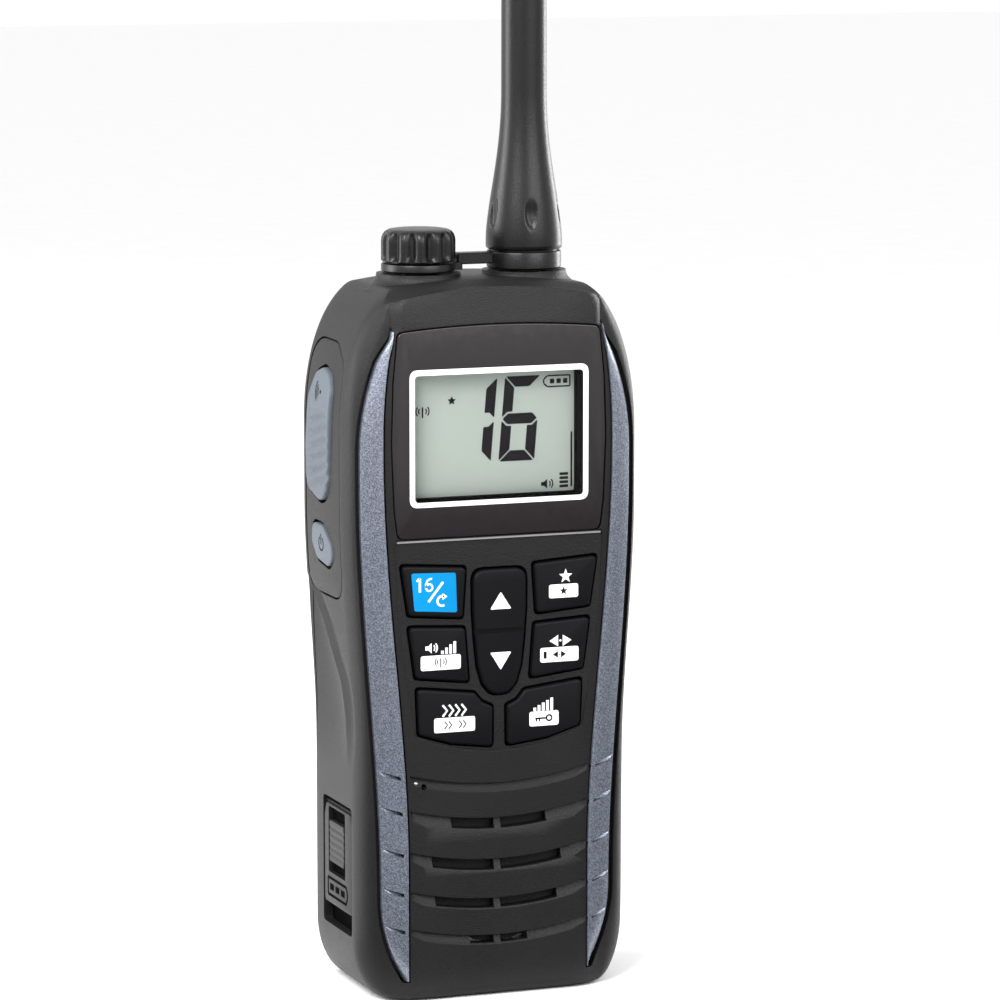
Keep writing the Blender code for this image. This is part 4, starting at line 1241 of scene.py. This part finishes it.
def make_clip():
    axis_y = 20.2
    axis_z = 84.0
    floor_y = HALF_DEPTH + GAP
    ear = [(16.4, axis_z - 2.9), (axis_y, axis_z - 2.1), *arc(axis_y, axis_z, 2.0, -75, 75, 8),
           (axis_y, axis_z + 2.1), (16.4, axis_z + 2.9)]
    holes = [rod((-12, axis_y, axis_z), 24, 1.06, "X")]
    for z in (73.5, 89.0):
        holes += [rod((0, floor_y + 0.9, z), 4, 2.3, "Y"), rod((0, 10, z), 10, 1.3, "Y")]
    levels = soft_levels(floor_y, floor_y + 1.8, 0.35)
    foot = plate(rounded(rectangle(-11, 11, 70, 92), 2.0), levels, on_back)
    foot = carved(foot, *plus(*both_sides(ear, 8.4, 10.6)), *less(*holes))
    piece("clip_foot", foot, "battery", "casing", COVER, "clip_base")
    arm_side = [(6.0, 26), (9.0, 40), (10.0, 76), (8.0, 80), (8.0, 94.5)]
    arm_outline = rounded(arm_side[::-1] + [(-x, z) for x, z in arm_side], 2.2, 6)
    arm = plate(arm_outline, [(-0.3, 22.6), (0, 22.9), *soft_levels(23.0, 24.78, 0.5)], on_back)
    knuckle = [(23.0, axis_z - 2.2), *arc(axis_y, axis_z, 1.9, -90, -270, 12), (23.0, axis_z + 2.2)]
    hook = rounded([(20.9, 25.6), (23.2, 25.6), (23.2, 28.6), (22.2, 28.4), (20.9, 27.0)], 0.4)
    window = rounded([(-5.2, 46), (5.2, 46), (5.8, 68), (-5.8, 68)], 1.6)
    slots = [back_slot(-5.5, 5.5, z, z + 1.1, 0.4, 24.35) for z in spread(31.5, 39.3, 2.6)]
    arm = carved(
        arm,
        *plus(*both_sides(knuckle, 5.4, 7.9), prism(hook, -5.7, 5.7, across_x)),
        *less(prism(window, 24.3, 30, on_back), *slots, rod((-12, axis_y, axis_z), 24, 1.06, "X")),
    )
    piece("clip_arm", arm, "clip", "casing", COVER, "belt_clip")
    whole = 6 * 2 * pi
    points = []
    for angle in spread(0, whole, pi / 10):
        x = 9.2 * (angle / whole - 0.5)
        points.append(Vector((x, axis_y + 1.5 * cos(angle), axis_z + 1.5 * sin(angle))))
    piece("clip_coil", tube(points, 0.32), "battery", "steel", STEEL, "clip_spring")


def tube(points, radius, sides=10):
    """A round wire along a row of points."""
    rings = []
    for i, here in enumerate(points):
        along = (points[min(i + 1, len(points) - 1)] - points[max(i - 1, 0)]).normalized()
        first = along.cross(Vector((1, 0, 0))).normalized()
        second = along.cross(first)
        turns = [2 * pi * k / sides for k in range(sides)]
        rings.append([tuple(here + (first * cos(turn) + second * sin(turn)) * radius) for turn in turns])
    return loft(rings)


def finish_frame_nodes():
    """Gives every carried-over frame node its slot's material."""
    slots = {part["node"]: part["material_slot"] for part in frame["record"]["subparts"]}
    for name, node in frame["nodes"].items():
        node.data.materials.clear()
        node.data.materials.append(BLACKENED if name == "charge_hinge_pin" else SLOT_SURFACES[slots[name]])


# Studio

def aim(thing, target):
    thing.rotation_euler = (Vector(target) - thing.location).to_track_quat("-Z", "Y").to_euler()


def soft_box(name, place, target, size, power):
    data = bpy.data.lights.new(name, "AREA")
    data.shape = "RECTANGLE"
    data.size, data.size_y = size
    data.energy = power
    made = linked(name, data)
    made.location = place
    aim(made, target)
    return made


def make_camera():
    data = bpy.data.cameras.new("camera")
    data.lens = 170.2
    data.sensor_width = 36
    made = linked("camera", data)
    made.location = (-0.29854, -0.80841, 0.21392)
    aim(made, (0.0058, 0, 0.0896))
    bpy.context.scene.camera = made


def stage_sheet(name, size, surface):
    bm = bmesh.new()
    bmesh.ops.create_grid(bm, x_segments=2, y_segments=2, size=size)
    mesh = mesh_of(name, bm)
    mesh.materials.append(surface)
    made = linked(name, mesh)
    return made


def make_flag():
    """A black card on the floor in front of the radio, which only shows in its reflections."""
    cloth = moulded("flag_cloth", (0.003, 0.003, 0.003), 0.95, 400, 0.1, 0.05, shine=0.0)
    flag = stage_sheet("black_flag", 0.6, cloth)
    flag.scale.y = 0.5
    flag.location = (0, -0.32, 0.002)
    flag.visible_camera = False
    flag.visible_diffuse = False
    flag.visible_shadow = False
    flag.visible_transmission = False


def make_studio():
    world = bpy.data.worlds.new("studio")
    world.use_nodes = True
    background = world.node_tree.nodes["Background"].inputs
    background["Color"].default_value = (1, 1, 1, 1)
    background["Strength"].default_value = 1.0
    bpy.context.scene.world = world
    bpy.context.scene.view_settings.view_transform = "Standard"
    stage_sheet("studio_floor", 4.0, moulded("studio_floor", (0.96, 0.96, 0.96), 0.9, 40, 0.02, 0.01))
    middle = (0, 0, 0.09)
    upper = (0, 0, 0.12)
    soft_box("left_box", (-0.8, 0.35, 0.25), middle, (0.35, 0.7), 7)
    soft_box("right_rim_box", (0.8, 0.35, 0.25), middle, (0.3, 0.7), 7)
    soft_box("key_box", (-0.28, -0.25, 0.42), upper, (0.25, 0.25), 3.0)
    sheen = soft_box("sheen_box", (0.38, -1.03, 0.63), upper, (0.9, 0.7), 11)
    sheen.visible_diffuse = False
    make_flag()


make_camera()
shell = casing_shell()
make_rear_case(shell.copy())
make_front_case(shell)
make_trims()
make_lens()
make_display()
make_keys()
make_side_controls()
make_charge_cover()
make_top()
make_antenna()
make_screws()
make_battery()
make_clip()
finish_frame_nodes()
make_studio()
